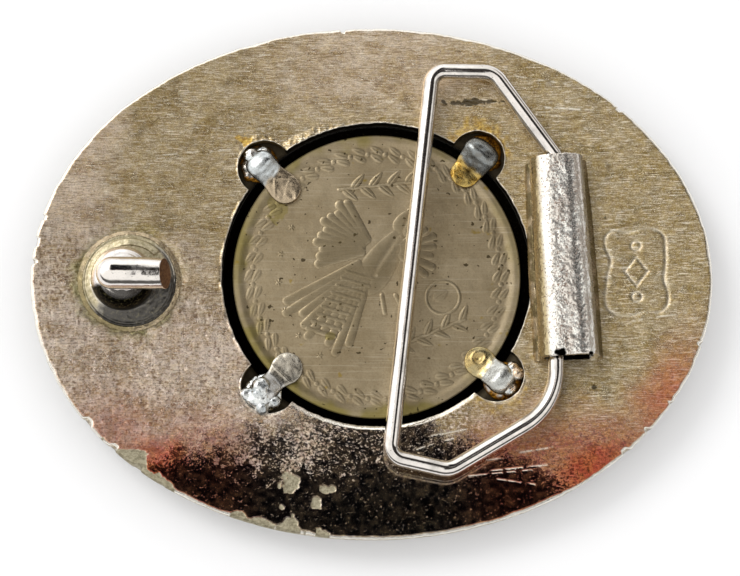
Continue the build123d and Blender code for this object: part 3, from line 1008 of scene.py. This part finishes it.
def build_coin(material):
    """The coin as one closed skin: back, reeded edge and front."""
    angle = np.linspace(0, TURN, COIN_COLUMNS, endpoint=False)
    field = coin_radius - COIN_RIM
    inside, outside = (0.05, field - 0.3, COIN_ROWS), (field - 0.25, coin_radius - 0.12, 14)
    radii = np.concatenate([np.linspace(*inside), np.linspace(*outside)])[:, None]
    x, y = radii * np.cos(angle), radii * np.sin(angle)
    rim = smooth_step(radii, field - 0.9, field + 0.3)
    top_z, top_relief, top_hollow = coin_side(x, y, rim, back_relief(x, y), coin_high[2], 1)
    low_z, low_relief, low_hollow = coin_side(x, y, rim, front_relief(x, y), coin_low[2], -1)
    reeding = 0.06 * np.abs(np.sin(angle * REEDS / 2))
    edge = []
    for part in (0.04, 0.1, 0.3, 0.7, 0.9, 0.96):
        radius = coin_radius - (0.06 if part in (0.04, 0.96) else reeding)
        level = coin_high[2] + (coin_low[2] - coin_high[2]) * part
        edge.append(join_points(*round_coin(radius, angle), level))
    top, low = (join_points(*round_coin(radii, angle), z) for z in (top_z, low_z))
    grid = np.concatenate([top, edge, low[::-1]])
    plain = np.ones((len(edge), COIN_COLUMNS))
    relief = np.concatenate([top_relief, 0.3 * plain, low_relief[::-1]])
    hollow = np.concatenate([top_hollow, 0 * plain, low_hollow[::-1]])
    gx, gy = grid[..., 0] - coin_middle[0], grid[..., 1] - coin_middle[1]
    ring = smooth_step(np.hypot(gx, gy) + 1.6 * fractal(3.0, 121, gx, gy), 17.0, 19.2)
    grime = highest(
        ring * (0.35 + 0.65 * smooth_step(noise(7.0, 123, gx, gy), -0.2, 0.5)),
        0.7 * spot(gx, gy, (-13.2, 9.3), (1.2, 2.0), 125, 0.5),
        0.8 * spot(gx, gy, (-6.2, -8.0), (0.5, 0.5), 126, 0.5),
    )
    # Painted shade: the reeded edge black, and the outermost rings of the back darker, where the coin lies in
    # the gap.
    soot = np.zeros_like(relief)
    soot[len(radii) : len(radii) + len(edge)] = 1.0
    soot[len(radii) - 2 : len(radii)] = 0.6
    faces = [face[::-1] for face in capped_faces(len(grid), COIN_COLUMNS)]
    make_piece("coin", grid, faces, material, relief=relief, hollow=hollow, grime=grime, soot=soot)


# ---------------------------------------------------------------- tabs and solder

STRIP_COLUMNS = 72
STRIP_ROWS = 90

# Each tab: distance out and radius of its pad, half width and rise of its knee, noise seed, and how much
# flux stains its pad.
TAB_SHAPES = {
    "upper_left": dict(pad=16.8, pad_radius=2.05, knee_half=2.0, crest=1.1, seed=1, flux=0.0),
    "upper_right": dict(pad=18.1, pad_radius=1.95, knee_half=2.45, crest=1.4, seed=2, flux=0.9),
    "lower_left": dict(pad=17.0, pad_radius=2.05, knee_half=1.7, crest=1.05, seed=3, flux=0.05),
    "lower_right": dict(pad=17.7, pad_radius=2.0, knee_half=2.0, crest=1.1, seed=4, flux=0.35),
}
TAB_FOOT = 23.1

# The knee is rounded off in plan beyond KNEE_CENTRE, over KNEE_LENGTH.
KNEE_CENTRE = 21.3
KNEE_LENGTH = 1.8


def tab_section_at(share, shape):
    """Distance out, height, half width and half thickness of the strip at a share of its length."""
    pad, pad_radius, knee, crest = shape["pad"], shape["pad_radius"], shape["knee_half"], shape["crest"]
    floor = dish_z(coin_middle[0] + TAB_FOOT, coin_middle[1], BACK_THICKNESS) - coin_high[2]
    stops = (0.0, 0.30, 0.45, 0.62, 0.78, 0.9, 1.0)
    out = (pad - pad_radius, pad + 0.6, 19.2, KNEE_CENTRE - 0.25, KNEE_CENTRE + 0.9, TAB_FOOT - 0.3, TAB_FOOT)
    rise = (0.27, 0.27, 0.42, crest, crest - 0.35, -0.4, floor + 0.3)
    half = (pad_radius, pad_radius, 0.86 * knee, knee, knee, 0.94 * knee, 0.9 * knee)
    thick = (0.25, 0.25, 0.36, 0.85, 0.9, 0.6, 0.35)
    return [np.interp(share, stops, row) for row in (out, np.add(rise, coin_high[2]), half, thick)]


def pad_creases(place, pad, r, w):
    """Height of the lines pressed in a tab's pad when it was bent, from 0 to 1."""
    legs = {
        "upper_left": [((pad + 1.9, 0.0), (pad + 0.2, side * 1.75)) for side in (-1, 1)],
        "lower_left": [((pad + 1.1, -1.9), (pad + 1.1, 1.9))],
    }
    lines = [hump(segment_distance(r, w, start, end), 0, 0.13) for start, end in legs.get(place, ())]
    return highest(np.zeros_like(r), *lines)


def build_tab(place, material):
    """A strip bent over the coin's edge: rounded pad, swollen knee and hidden foot."""
    shape = TAB_SHAPES[place]
    pad_middle, pad_radius, seed = shape["pad"], shape["pad_radius"], shape["seed"]
    out, height, half, thick = tab_section_at(np.linspace(0, 1, STRIP_ROWS), shape)
    for _ in range(6):
        for row in (out, height, half, thick):
            row[1:-1] = (row[:-2] + 2 * row[1:-1] + row[2:]) / 4
    from_end = np.clip(out - pad_middle + pad_radius, 0, pad_radius)
    round_end = np.sqrt(np.clip(1 - (1 - from_end / pad_radius) ** 2, 0.0009, 1))
    beyond = np.clip((out - KNEE_CENTRE) / KNEE_LENGTH, 0, 1)
    half = half * round_end * np.sqrt(1 - 0.8 * beyond**2)
    turn = np.linspace(0, TURN, STRIP_COLUMNS, endpoint=False)
    c, s = np.cos(turn), np.sin(turn)
    across = np.sign(c) * np.abs(c) ** 0.85
    upward = np.sign(s) * np.abs(s) ** 0.95
    slope_out, slope_up = np.gradient(out), np.gradient(height)
    length = np.hypot(slope_out, slope_up)
    r = out[:, None] - (slope_up / length * thick)[:, None] * upward
    z = height[:, None] + (slope_out / length * thick)[:, None] * upward
    w = across * half[:, None]
    upper = np.clip(upward, 0, 1) * np.ones_like(r)
    z = z + upper * (0.06 * fractal(1.1, 200 + seed, r, w, z) + 0.02 * noise(0.4, 210 + seed, r, w, z))
    z = z + 0.09 * pad_creases(place, pad_middle, r, w) * upper
    if place == "lower_right":
        dimple = np.hypot(r - pad_middle + 0.4, (w - 0.3) * 0.8)
        z = z - 0.22 * hump(dimple, 0, 0.4) * upper + 0.1 * hump(dimple, 0.75, 0.3) * upper
    c, s = math.cos(tab_angles[place]), math.sin(tab_angles[place])
    x, y = coin_middle[0] + r * c - w * s, coin_middle[1] + r * s + w * c
    stain = smooth_step(fractal(0.9, 220 + seed, x, y, z), -0.5, 0.3)
    flux = shape["flux"] * smooth_step(-r, -19.4, -18.2) * stain
    pad = smooth_step(-r + 0.3 * fractal(0.8, 230 + seed, x, y, z), -19.4, -18.8)
    # Darker towards the strip's side edges and underside; much darker, as painted shade, where it dips low
    # into the pocket.
    grime = smooth_step(np.abs(w) / np.maximum(half[:, None], 0.1) - 0.25 * upper, 0.8, 1.0) * 0.4
    low = smooth_step(-height[:, None] * np.ones_like(r), -3.9, -3.2) * smooth_step(r, 19.4, 20.6)
    grime = highest(grime, 0.75 * low)
    if place == "upper_right":
        grime = highest(grime, hump(np.hypot(r - 18.5, w + 0.2), 0, 0.55))
    faces = capped_faces(STRIP_ROWS, STRIP_COLUMNS)
    points = join_points(x, y, z)
    make_piece("retaining_tab_" + place, points, faces, material, flux=flux, grime=grime, pad=pad)


# Lumps of solder in each pocket, from its centre: out, sideways, up from its floor, length, width and
# half height. A lump is as wide as the mean of its length and width.
SOLDER_LUMPS = {
    "upper_left": (
        (1.7, -1.3, 0.6, 1.1, 1.0, 0.9),
        (2.0, 1.2, 0.5, 1.0, 1.0, 0.8),
        (2.5, 0.0, 0.8, 0.9, 1.5, 1.0),
        (1.0, 2.2, 0.3, 0.7, 0.6, 0.6),
    ),
    "upper_right": ((2.1, 0.0, 0.3, 0.9, 1.6, 0.9), (1.3, -2.1, 0.2, 0.8, 0.7, 0.7)),
    "lower_left": (
        (1.7, 0.2, 1.2, 1.5, 2.2, 1.15),
        (0.7, -0.6, 1.6, 1.3, 1.4, 1.0),
        (2.6, 1.4, 1.4, 1.0, 1.0, 0.8),
        (2.6, -1.3, 1.3, 1.0, 1.0, 0.7),
        (0.9, 1.9, 1.3, 0.9, 0.9, 0.8),
    ),
    "lower_right": (
        (1.9, 1.9, 1.0, 1.0, 1.0, 1.2),
        (2.3, -0.2, 0.6, 1.0, 1.2, 1.0),
        (1.0, 2.1, 1.2, 0.8, 0.8, 0.8),
    ),
}

# The flat lump under them, the same in every pocket.
SOLDER_BASE = (1.1, 0, 0.4, 2.6, 2.6, 0.7)

# How high over the plate's back each pocket's solder stays free of the brown darkening, and how much flux is
# on it.
SOLDER_CLEAN = {
    "upper_left": (-0.6, 0.2),
    "upper_right": (-0.15, 0.5),
    "lower_left": (-1.1, 0.05),
    "lower_right": (-0.55, 0.5),
}


def build_solder(place, material):
    """Solder run over a tab's foot."""
    c, s = math.cos(tab_angles[place]), math.sin(tab_angles[place])
    pocket = coin_middle[:2] + POCKET_DISTANCE * np.array([c, s])

    lumps = []
    for out, side, up, length, width, tall in SOLDER_LUMPS[place] + (SOLDER_BASE,):
        x, y = pocket[0] + out * c - side * s, pocket[1] + out * s + side * c
        half = (length + width) / 2
        lumps.append(((x, y, dish_z(x, y, BACK_THICKNESS) + up), (half, half, tall)))
    points, normals, faces = blob(lumps, 0.11, 3)
    x, y, z = points.T
    swell = 0.12 * fractal(1.0, 301, x, y, z) + 0.03 * noise(0.35, 305, x, y, z)
    clean, flux = SOLDER_CLEAN[place]
    ragged = 0.3 * fractal(0.8, 311, x, y, z)
    flux = flux * smooth_step(fractal(0.9, 321, x, y, z), 0.0, 0.4)
    x, y, z = (points + normals * swell[:, None]).T
    z = np.maximum(z, dish_z(x, y, BACK_THICKNESS) + 0.02)
    # Browner and darker the lower the solder lies below the plate's back.
    grime = smooth_step(dish_z(x, y) - z + ragged, -clean - 0.15, -clean + 0.35)
    make_piece("tab_solder_" + place, join_points(x, y, z), faces, material, grime=grime, flux=flux)


# ---------------------------------------------------------------- hook, barrel and bail


def build_hook(material, solder):
    """The stud, its edges rounded by casting and polishing, and the ring of solder round its foot."""
    points, normals, faces = cad_copy("hook_stud", 0.08, 8)
    x, y, z = points.T
    dx, dy = x - hook_middle[0], y - hook_middle[1]
    over = z - dish_z(x, y)
    from_axis, turn = np.hypot(dx, dy), np.degrees(np.arctan2(dy, dx))
    from_boss = np.hypot(dx + 0.8, dy)
    foot = smooth_step(-over, -1.5, -1.0)
    bar = smooth_step(over, 4.0, 4.6)
    groove = 0.14 * hump(from_axis, 5.7, 0.2) * foot
    burr = 0.3 * smooth_step(-np.abs(from_axis - 5.1), -0.55, -0.4) * foot
    burr = burr * smooth_step(turn, 44, 47) * smooth_step(-turn, -125, -85)
    rough = foot * 0.03 * fractal(0.6, 401, x, y, z)
    swell = 0.10 * np.clip(1 - ((dx - 0.3) / 4.4) ** 2, 0, 1) + 0.025 * fractal(2.5, 405, x, y, z)
    flank = smooth_step(over, 0.9, 1.6) * smooth_step(-over, -5.2, -3.6) * smooth_step(-from_boss, -4.6, -3.9)
    shoulder = 0.75 * flank * (0.4 + 0.6 * hump(over, 2.8, 1.5))
    points = points + UP * (burr - groove)[:, None] + normals * (rough + bar * swell + shoulder)[:, None]
    ragged = 0.6 * fractal(0.9, 403, x, y, z)
    # Painted shade: the foot's lower right side, the boss below the bar, and one side of the groove round the
    # foot.
    dark = highest(
        0.88 * foot * smooth_step(0.42 * dx - 0.91 * dy + ragged, 0.8, 2.4),
        (1 - foot) * (1 - bar) * smooth_step(-dy + 0.3 * ragged, 0.8, 1.3),
        0.85 * hump(from_axis, 5.75, 0.22) * foot * smooth_step(dx - dy, -3, 2),
    )
    end = smooth_step(normals[:, 0], 0.6, 0.8) * smooth_step(dx, 2.8, 3.4) * smooth_step(over, 1.6, 2.2)
    tan = 0.9 * foot * (1 - dark) * smooth_step(from_boss, 3.9, 4.4)
    make_piece("hook_stud", points, faces, material, tan=tan, grime=dark * (1 - end), rust=end)

    points, normals, faces = cad_copy("hook_solder", 0.07, 3)
    x, y, z = points.T
    points = points + normals * (0.06 * fractal(0.9, 411, x, y, z))[:, None]
    slant = 0.12 * (x - hook_middle[0] + y - hook_middle[1])
    stained = smooth_step(fractal(1.3, 413, x, y, z) - slant, -0.3, 0.7)
    make_piece("hook_solder", points, faces, solder, pad=stained, grime=0.12 * stained)


# The barrel's middle line: x at its lower and upper end.
BARREL_LINE = (25.7, 24.35)

# Painted shade in notches at the barrel's lower end: x from its middle line, y above the end, and half sizes.
BARREL_NOTCHES = (
    (-1.5, 0.5, 0.65, 0.55),
    (2.4, 0.45, 0.35, 0.35),
)


def build_barrel(material, seam):
    """The cast tube with its pitted skin, and the solder along both its sides."""
    points, normals, faces = cad_copy("bail_barrel", 0.11, 6)
    x, y, z = points.T
    over = z - dish_z(x, y)
    skin = 0.03 * fractal(0.9, 501, x, y, z) + 0.02 * noise(0.3, 505, x, y, z)
    points = points + normals * skin[:, None]
    share = (y - barrel_low[1]) / (barrel_high[1] - barrel_low[1])
    side = x - np.interp(y, [barrel_low[1], barrel_high[1]], BARREL_LINE)
    top = smooth_step(over, 3.5, 5.0)
    # crest: where the painted dark reflection runs down the top.
    crest = (hump(side, 0.5 * share - 0.9, 1.0) + 0.35 * hump(side, 1.9, 0.7)) * top
    crest = np.clip(crest * (0.75 + 0.35 * fractal(2.0, 507, x, y, z)), 0, 1)
    # Painted shade on the barrel's left flank.
    flank = smooth_step(-side, 2.4, 3.1)
    end_gap = np.minimum(y - barrel_low[1], barrel_high[1] - y)
    # Painted shade inside the bore near the ends, and in the notches.
    bore = smooth_step(-over, -4.6, -4.2) * smooth_step(-np.abs(side), -2.9, -2.6)
    soot = bore * smooth_step(end_gap, -0.1, 0.25)
    for dx, dy, half_wide, half_tall in BARREL_NOTCHES:
        notch = spot(x, y, (BARREL_LINE[0] + dx, barrel_low[1] + dy), (half_wide, half_tall), 521, 0.35)
        soot = highest(soot, notch * smooth_step(over, 2.5, 3.5))
    make_piece("bail_barrel", points, faces, material, crest=crest, flank=flank, soot=soot)
    # The inner seam is darker than the outer: painted shade left of the barrel, in patches.
    for place, grime in (("inner", 0.3), ("outer", 0.15)):
        node = "barrel_solder_" + place
        points, normals, faces = cad_copy(node, 0.08, 3)
        x, y, z = points.T
        uneven = 0.03 * fractal(1.6, 511, x, y, z)
        skirt = 0.25 * smooth_step(dish_z(x, y) - z, -0.45, -0.1)
        points = points + normals * uneven[:, None] - UP * skirt[:, None]
        stained = smooth_step(fractal(1.5, 513, x, y, z), -0.5, 0.3)
        make_piece(node, points, faces, seam, pad=stained, grime=grime * stained)


BAIL_SIDES = 48
WIRE_RADIUS = 1.05
WIRE_GAP = 0.5

# The bail's corners in order from the axle's upper end: share of its reach from the axle, share of its
# run along the axle, and radius of the bend.
BAIL_CORNERS = (
    (0.0, 0.7868, 1.5),
    (0.3926, 1.0004, 2.8),
    (0.7731, 0.9983, 1.9),
    (1.0075, 0.0272, 1.9),
    (0.6471, -0.0032, 2.8),
    (0.0, 0.1569, 8.5),
)


def arc_corner(before, corner, after, radius, steps=18):
    """Points of the bend of a given radius that rounds a corner, in the plane."""
    back, ahead = before - corner, after - corner
    back, ahead = back / np.linalg.norm(back), ahead / np.linalg.norm(ahead)
    half = math.acos(np.clip(back @ ahead, -1, 1)) / 2
    middle = (back + ahead) / np.linalg.norm(back + ahead)
    centre = corner + middle * radius / math.sin(half)
    first = corner + back * radius / math.tan(half) - centre
    last = corner + ahead * radius / math.tan(half) - centre
    sweep = math.atan2(first[0] * last[1] - first[1] * last[0], first @ last)
    square = np.array([-first[1], first[0]])
    turns = np.linspace(0, sweep, steps)
    return [centre + math.cos(turn) * first + math.sin(turn) * square for turn in turns]


def bail_path(far, low, high):
    """The wire's middle line in its plane: how far out from the axle, and how far along it."""
    corners = [np.array([far * u, low + (high - low) * v]) for u, v, _ in BAIL_CORNERS]
    middle = (corners[0] + corners[-1]) / 2
    half_gap = np.array([0, WIRE_GAP / 2])
    stops = [middle + half_gap] + corners + [middle - half_gap]
    path = [stops[0], (2 * stops[0] + stops[1]) / 3]
    for index, (_, _, bend) in enumerate(BAIL_CORNERS, start=1):
        arc = arc_corner(stops[index - 1], stops[index], stops[index + 1], bend)
        start, run = path[-1], arc[0] - path[-1]
        count = max(1, int(np.linalg.norm(run) / 0.5))
        path.extend(start + run * step / count for step in range(1, count))
        path.extend(arc)
    start, run = path[-1], stops[-1] - path[-1]
    path.extend(start + run * step / 12 for step in range(1, 13))
    return np.array(path)


def build_bail(material):
    """The bent wire, swept along the same bends as the CAD wire, in the CAD wire's own plane."""
    points = np.array([vertex.co for vertex in frame["nodes"]["bail_wire"].data.vertices]) / MM
    joint = frame["joints"][0]
    origin = np.array(joint["pos_m"]) / MM
    along = np.array(joint["axis"]) / np.linalg.norm(joint["axis"])
    spread = points - points.mean(axis=0)
    _, axes = np.linalg.eigh(spread.T @ spread)
    upward = axes[:, 0] * np.sign(axes[2, 0])
    outward = np.cross(along, upward)
    outward = outward * -np.sign(outward[0])
    reach, run = (points - origin) @ outward, (points - origin) @ along
    path = bail_path(reach.max() - WIRE_RADIUS, run.min() + WIRE_RADIUS, run.max() - WIRE_RADIUS)
    tangent = np.gradient(path, axis=0)
    tangent /= np.linalg.norm(tangent, axis=1)[:, None]
    centre = origin + path[:, :1] * outward + path[:, 1:] * along
    side = tangent[:, 1:] * outward - tangent[:, :1] * along
    turn = np.linspace(0, TURN, BAIL_SIDES, endpoint=False)
    c, s = np.cos(turn), np.sin(turn)
    radius = WIRE_RADIUS - 0.012 + 0.012 * noise(6.0, 601, np.arange(len(path))[:, None], c * 6, s * 6)
    radius[[0, -1]] *= 0.86
    ring = centre[:, None] + radius[..., None] * (c[:, None] * side[:, None] + s[:, None] * upward)
    grime = 0.25 * smooth_step(fractal(2.0, 611, *np.moveaxis(ring, -1, 0)), 0.3, 0.9)
    make_piece("bail_wire", ring, capped_faces(len(path), BAIL_SIDES), material, grime=grime)


# ---------------------------------------------------------------- bezel, ropes and face

BEZEL_WINDOW = 17.75
BEZEL_BORE = 19.2
BEZEL_WALL_TOP = 1.9
BEZEL_BEADS = 120
BORDER_WIDTH = 2.6
BORDER_HEIGHT = 1.5
ROPE_SIDES = 28
ROPE_STRANDS = 2
FRONT_MARGIN = 0.3
FACE_SCROLLS = 18

# The engraved field of the face: its radius inside, and its margin from the rim outside.
FIELD_INSIDE = 23.4
FIELD_MARGIN = 3.7


def build_rope(node, path, outward, turns, half_width, half_height, material):
    """A twisted rope laid along a closed path: a lobed section that turns as it goes."""
    turn = np.linspace(0, TURN, ROPE_SIDES, endpoint=False)
    step = np.linalg.norm(np.roll(path, -1, axis=0) - path, axis=1)
    along = TURN * turns * (np.cumsum(step) - step) / step.sum()
    lobe = 0.80 + 0.20 * np.abs(np.cos((ROPE_STRANDS * turn - along[:, None]) / 2))
    across, upward = half_width * np.cos(turn) * lobe, half_height * np.sin(turn) * lobe
    grid = path[:, None] + across[..., None] * outward[:, None] + upward[..., None] * UP
    faces = grid_faces(len(path), ROPE_SIDES, loop=True)
    make_piece(node, grid, faces, material, hollow=smooth_step(-lobe, -0.87, -0.8))


def build_bezel_rope(material):
    """The twisted-wire ring round the bezel."""
    angle = np.linspace(0, TURN, 1600, endpoint=False)
    outward = join_points(np.cos(angle), np.sin(angle), 0)
    thick = (ring_high[2] - ring_low[2]) / 2
    radius = (ring_high[0] - ring_low[0]) / 2 - thick
    path = join_points(*round_coin(radius, angle), ring_middle[2])
    build_rope("bezel_rope", path, outward, 50, thick, thick, material)


def build_rope_border(material):
    """The thick twisted border under the rim of the face."""
    angle = np.linspace(0, TURN, 3000, endpoint=False)
    c, s = np.cos(angle), np.sin(angle)
    margin = half_long - (rope_high[0] - rope_low[0]) / 2 + BORDER_WIDTH / 2
    a, b = half_long - margin, half_short - margin
    outward = join_points(c / a, s / b, 0)
    outward /= np.linalg.norm(outward, axis=1)[:, None]
    depth = BACK_THICKNESS + FRONT_THICKNESS + BORDER_HEIGHT / 2
    path = join_points(a * c, b * s, dish_z(a * c, b * s, depth))
    build_rope("rope_border", path, outward, 72, BORDER_WIDTH / 2, BORDER_HEIGHT / 2, material)


def build_bezel(material):
    """The ring that holds the coin, with a beaded lip on its face."""
    angle = np.linspace(0, TURN, 1440, endpoint=False)
    window, bore, outer = BEZEL_WINDOW, BEZEL_BORE, bezel_high[0] - bezel_middle[0]
    seat, wall_top, flange = coin_low[2], BEZEL_WALL_TOP, bezel_high[2]
    # Radius, height and darkness of each ring; the darkness is painted shade on the seat, on the wall in the
    # gap and on the flange under the back plate, and dark polish in the face's beaded groove.
    profile = (
        (window + 0.1, seat - 0.25, 0),
        (window, seat - 0.05, 0.2),
        (window + 0.1, seat, 0.9),
        (bore - 0.1, seat, 1),
        (bore, seat + 0.05, 1),
        (bore, wall_top - 0.1, 1),
        (bore + 0.1, wall_top, 1),
        (OPENING_RADIUS, wall_top, 1),
        (OPENING_RADIUS + 0.02, flange - 0.06, 0.8),
        (outer - 0.05, flange - 0.1, 0.4),
        (outer, flange - 0.3, 0.4),
        (outer, 0.6, 0.2),
        (outer - 0.15, 0.25, 0),
        (outer - 0.5, 0.02, 0),
        (outer - 0.9, 0.0, 0),
        (outer - 1.1, 0.12, 0.6),
        (outer - 1.3, 0.16, 0.9),
        (window + 1.6, 0.16, 0.9),
        (window + 1.4, 0.1, 0.5),
        (window + 1.1, 0.0, 0),
        (window + 0.5, 0.02, 0),
        (window + 0.15, 0.25, 0),
    )
    beads = 0.5 + 0.5 * np.cos(angle * BEZEL_BEADS)
    rings, hollow = [], []
    for radius, height, shade in profile:
        groove = shade >= 0.9 and height < 0.5
        level = height - (0.14 * beads**0.6 if groove else 0)
        rings.append(join_points(*round_coin(radius, angle), level))
        hollow.append(shade * (1 - beads) if groove else np.full_like(angle, shade))
    faces = grid_faces(len(rings), len(angle), loop=True)[:, ::-1]
    make_piece("coin_bezel", rings, faces, material, hollow=hollow)


def volutes(x, y, share, around):
    """Engraved scrollwork: spirals by turns left and right, each with two leaves."""
    spread = FACE_SCROLLS / TURN
    cell = np.floor(around * spread)
    local = (around * spread - cell - 0.5) / spread * np.hypot(x, y)
    hand = np.where(cell % 2 == 0, 1.0, -1.0)
    up = (share - 0.5) * 12.0 * hand
    far, turn = np.hypot(local, up), np.arctan2(up, local * hand)
    ridge = np.abs((far / 1.5 - turn / TURN) % 1 - 0.5)
    petals = [leaf(local, up, (lean * 3.2, 3.4), lean * 0.7, 1.7, 0.7) for lean in (-1, 1)]
    return highest(smooth_step(ridge, 0.18, 0.34) * smooth_step(-far, -3.6, -3.2), *petals)


def build_front_plate(material):
    """The decorated face under the back plate, as one closed skin with scrollwork cut in its underside."""
    angle = np.linspace(0, TURN, 1600, endpoint=False)
    width = rim_edge(angle, FRONT_MARGIN) - OPENING_RADIUS
    rings, hollow = [], []
    for part in np.linspace(0, 1, 14):
        x, y = round_coin(OPENING_RADIUS + width * part, angle)
        rings.append(join_points(x, y, dish_z(x, y, BACK_THICKNESS + 0.01)))
        # Painted shade on the face's top, where it lies under the back plate.
        hollow.append(np.ones_like(angle))
    for part in np.linspace(1, 0, 90):
        radius = OPENING_RADIUS + width * part
        x, y = round_coin(radius, angle)
        share = np.clip((radius - FIELD_INSIDE) / (rim_edge(angle, FIELD_MARGIN) - FIELD_INSIDE), 0, 1)
        field = smooth_step(share, 0.02, 0.06) * smooth_step(-share, -0.98, -0.94)
        cut = (1 - volutes(x - coin_middle[0], y - coin_middle[1], share, angle)) * field
        dots = 0.5 + 0.5 * noise(0.5, 701, x, y)
        level = dish_z(x, y, BACK_THICKNESS + FRONT_THICKNESS) + 0.22 * cut * (0.75 + 0.25 * dots)
        rings.append(join_points(x, y, level))
        hollow.append(cut * (0.6 + 0.4 * dots))
    make_piece("front_plate", rings, grid_faces(len(rings), len(angle), loop=True), material, hollow=hollow)


# ---------------------------------------------------------------- studio and camera

# Where the dark gap in the studio begins, in degrees from straight up, away from the camera.
GAP_START = 10.9

FLOOR_REACH = 2.0
FLOOR_HEIGHT = -0.0002


def build_surroundings():
    """Soft studio seen in the metal: white, with dark gaps overhead and warm low corners."""
    world = bpy.data.worlds.new("studio")
    bpy.context.scene.world = world
    n = Nodes(world)
    direction = n.add("ShaderNodeTexCoord")
    x, y, z = (n.add("ShaderNodeSeparateXYZ", {0: direction}, axis) for axis in range(3))
    side = n.math("ARCTAN2", x, z) * (180 / math.pi)
    ahead = n.math("ARCTAN2", y, z) * (180 / math.pi)
    far_side = n.math("ABSOLUTE", side)
    gap = n.step(ahead, GAP_START - 0.5, GAP_START + 0.7) * n.step(ahead, 56.0, 46.0)
    gap = gap * n.step(far_side, 10.0, 4.5)
    near_gap = n.step(ahead, GAP_START - 1.6, GAP_START - 0.2) * n.step(ahead, 30.0, 20.0)
    near_gap = near_gap * n.step(far_side, 7.0, 3.4)
    strip = n.step(side, 6.0, 7.5) * n.step(side - ahead, 34.0, 28.0)
    strip = strip * n.step(ahead, -40.0, -20.0) * n.step(ahead, 45.0, 30.0)
    low_side = n.step(z, 0.62, 0.25) * n.step(x, 0.2, 0.7)
    sky = n.over(
        n.mix(n.step(ahead - side, 20.0, 75.0), (1.10, 1.09, 1.065, 1), (1.5, 1.49, 1.47, 1)),
        (low_side * 0.9, (0.16, 0.13, 0.10, 1)),
        (n.step(ahead, -56.0, -66.0) * 0.92, (0.03, 0.028, 0.025, 1)),
        (near_gap * 0.5, (0.62, 0.22, 0.16, 1)),
        (strip * 0.985, (0.012, 0.008, 0.007, 1)),
        (gap * 0.995, (0.004, 0.004, 0.006, 1)),
    )
    seen_in_metal = n.add("ShaderNodeLightPath", output=3)
    color = n.mix(seen_in_metal, (0.965, 0.965, 0.97, 1), sky)
    background = n.add("ShaderNodeBackground", {"Color": color, "Strength": 1.0})
    n.add("ShaderNodeOutputWorld", {"Surface": background})


def build_floor():
    """A pale floor just under the buckle."""
    n = new_nodes("pale_floor")
    tone = n.mix(n.noise(60, 3, 0.55), (0.93, 0.93, 0.93, 1), (0.95, 0.945, 0.945, 1))
    corners = np.array([(-1, -1, 0), (1, -1, 0), (1, 1, 0), (-1, 1, 0)]) * FLOOR_REACH + UP * FLOOR_HEIGHT
    mesh = bpy.data.meshes.new("floor")
    mesh.from_pydata(corners.tolist(), [], [(0, 1, 2, 3)])
    mesh.materials.append(n.surface(tone, 0.7, metallic=0.0))
    floor = bpy.data.objects.new("floor", mesh)
    bpy.context.scene.collection.objects.link(floor)


def aim(holder, direction):
    """Turns a lamp or camera to look along a direction."""
    holder.rotation_mode = "QUATERNION"
    holder.rotation_quaternion = direction.to_track_quat("-Z", "Y")
    bpy.context.scene.collection.objects.link(holder)


def build_key_lamp():
    """One soft lamp from the upper left."""
    lamp = bpy.data.lights.new("key", "AREA")
    lamp.shape = "DISK"
    lamp.size = 0.5
    lamp.energy = 2.8
    key = bpy.data.objects.new("key", lamp)
    key.location = (-0.55, 0.45, 0.8)
    aim(key, -key.location)


CAMERA_DISTANCE = 0.300
CAMERA_ELEVATION = math.radians(80)
CAMERA_LENS = 111.2
CAMERA_TARGET = Vector((0, 0, 0.0046))

# How far the lens is shifted, as shares of the picture's width.
CAMERA_SHIFT = (-0.001757, -0.010811)


def build_camera():
    """The photograph's view: from above the lower edge, ten degrees off straight down."""
    camera = bpy.data.cameras.new("camera")
    camera.lens = CAMERA_LENS
    camera.sensor_width = 36.0
    camera.shift_x, camera.shift_y = CAMERA_SHIFT
    camera.clip_start = 0.01
    camera.clip_end = 10.0
    holder = bpy.data.objects.new("camera", camera)
    back = Vector((0, -math.cos(CAMERA_ELEVATION), math.sin(CAMERA_ELEVATION)))
    holder.location = CAMERA_TARGET + back * CAMERA_DISTANCE
    aim(holder, -back)
    bpy.context.scene.camera = holder


# ---------------------------------------------------------------- the buckle

# Colour of each tab's knee, wetted with solder, and of its bare pad.
TAB_TONES = {
    "upper_left": ((206, 212, 214), (186, 168, 142)),
    "upper_right": ((142, 146, 146), (196, 168, 100)),
    "lower_left": ((214, 214, 212), (176, 170, 158)),
    "lower_right": ((206, 208, 204), (188, 172, 128)),
}

solder = solder_material()
build_back_plate(plate_material())
build_coin(coin_material())
for place in TABS:
    build_tab(place, tab_material("tab_metal_" + place, *TAB_TONES[place]))
    build_solder(place, solder)
polished = polished_material()
seam = tab_material("tarnished_seam", (196, 178, 148), (156, 142, 106))
build_hook(polished, seam)
build_barrel(barrel_material(), seam)
build_bail(polished)
face = face_material("face_nickel_silver", (226, 222, 212), (58, 52, 42))
# The bezel's near-black shade colour is mostly painted shade in the gap.
bezel = face_material("bezel_nickel_silver", (214, 210, 198), (20, 16, 10))
build_front_plate(face)
build_rope_border(face)
build_bezel(bezel)
build_bezel_rope(bezel)
build_surroundings()
build_floor()
build_key_lamp()
build_camera()
bpy.context.scene.view_settings.view_transform = "Standard"
bpy.context.scene.view_settings.look = "None"
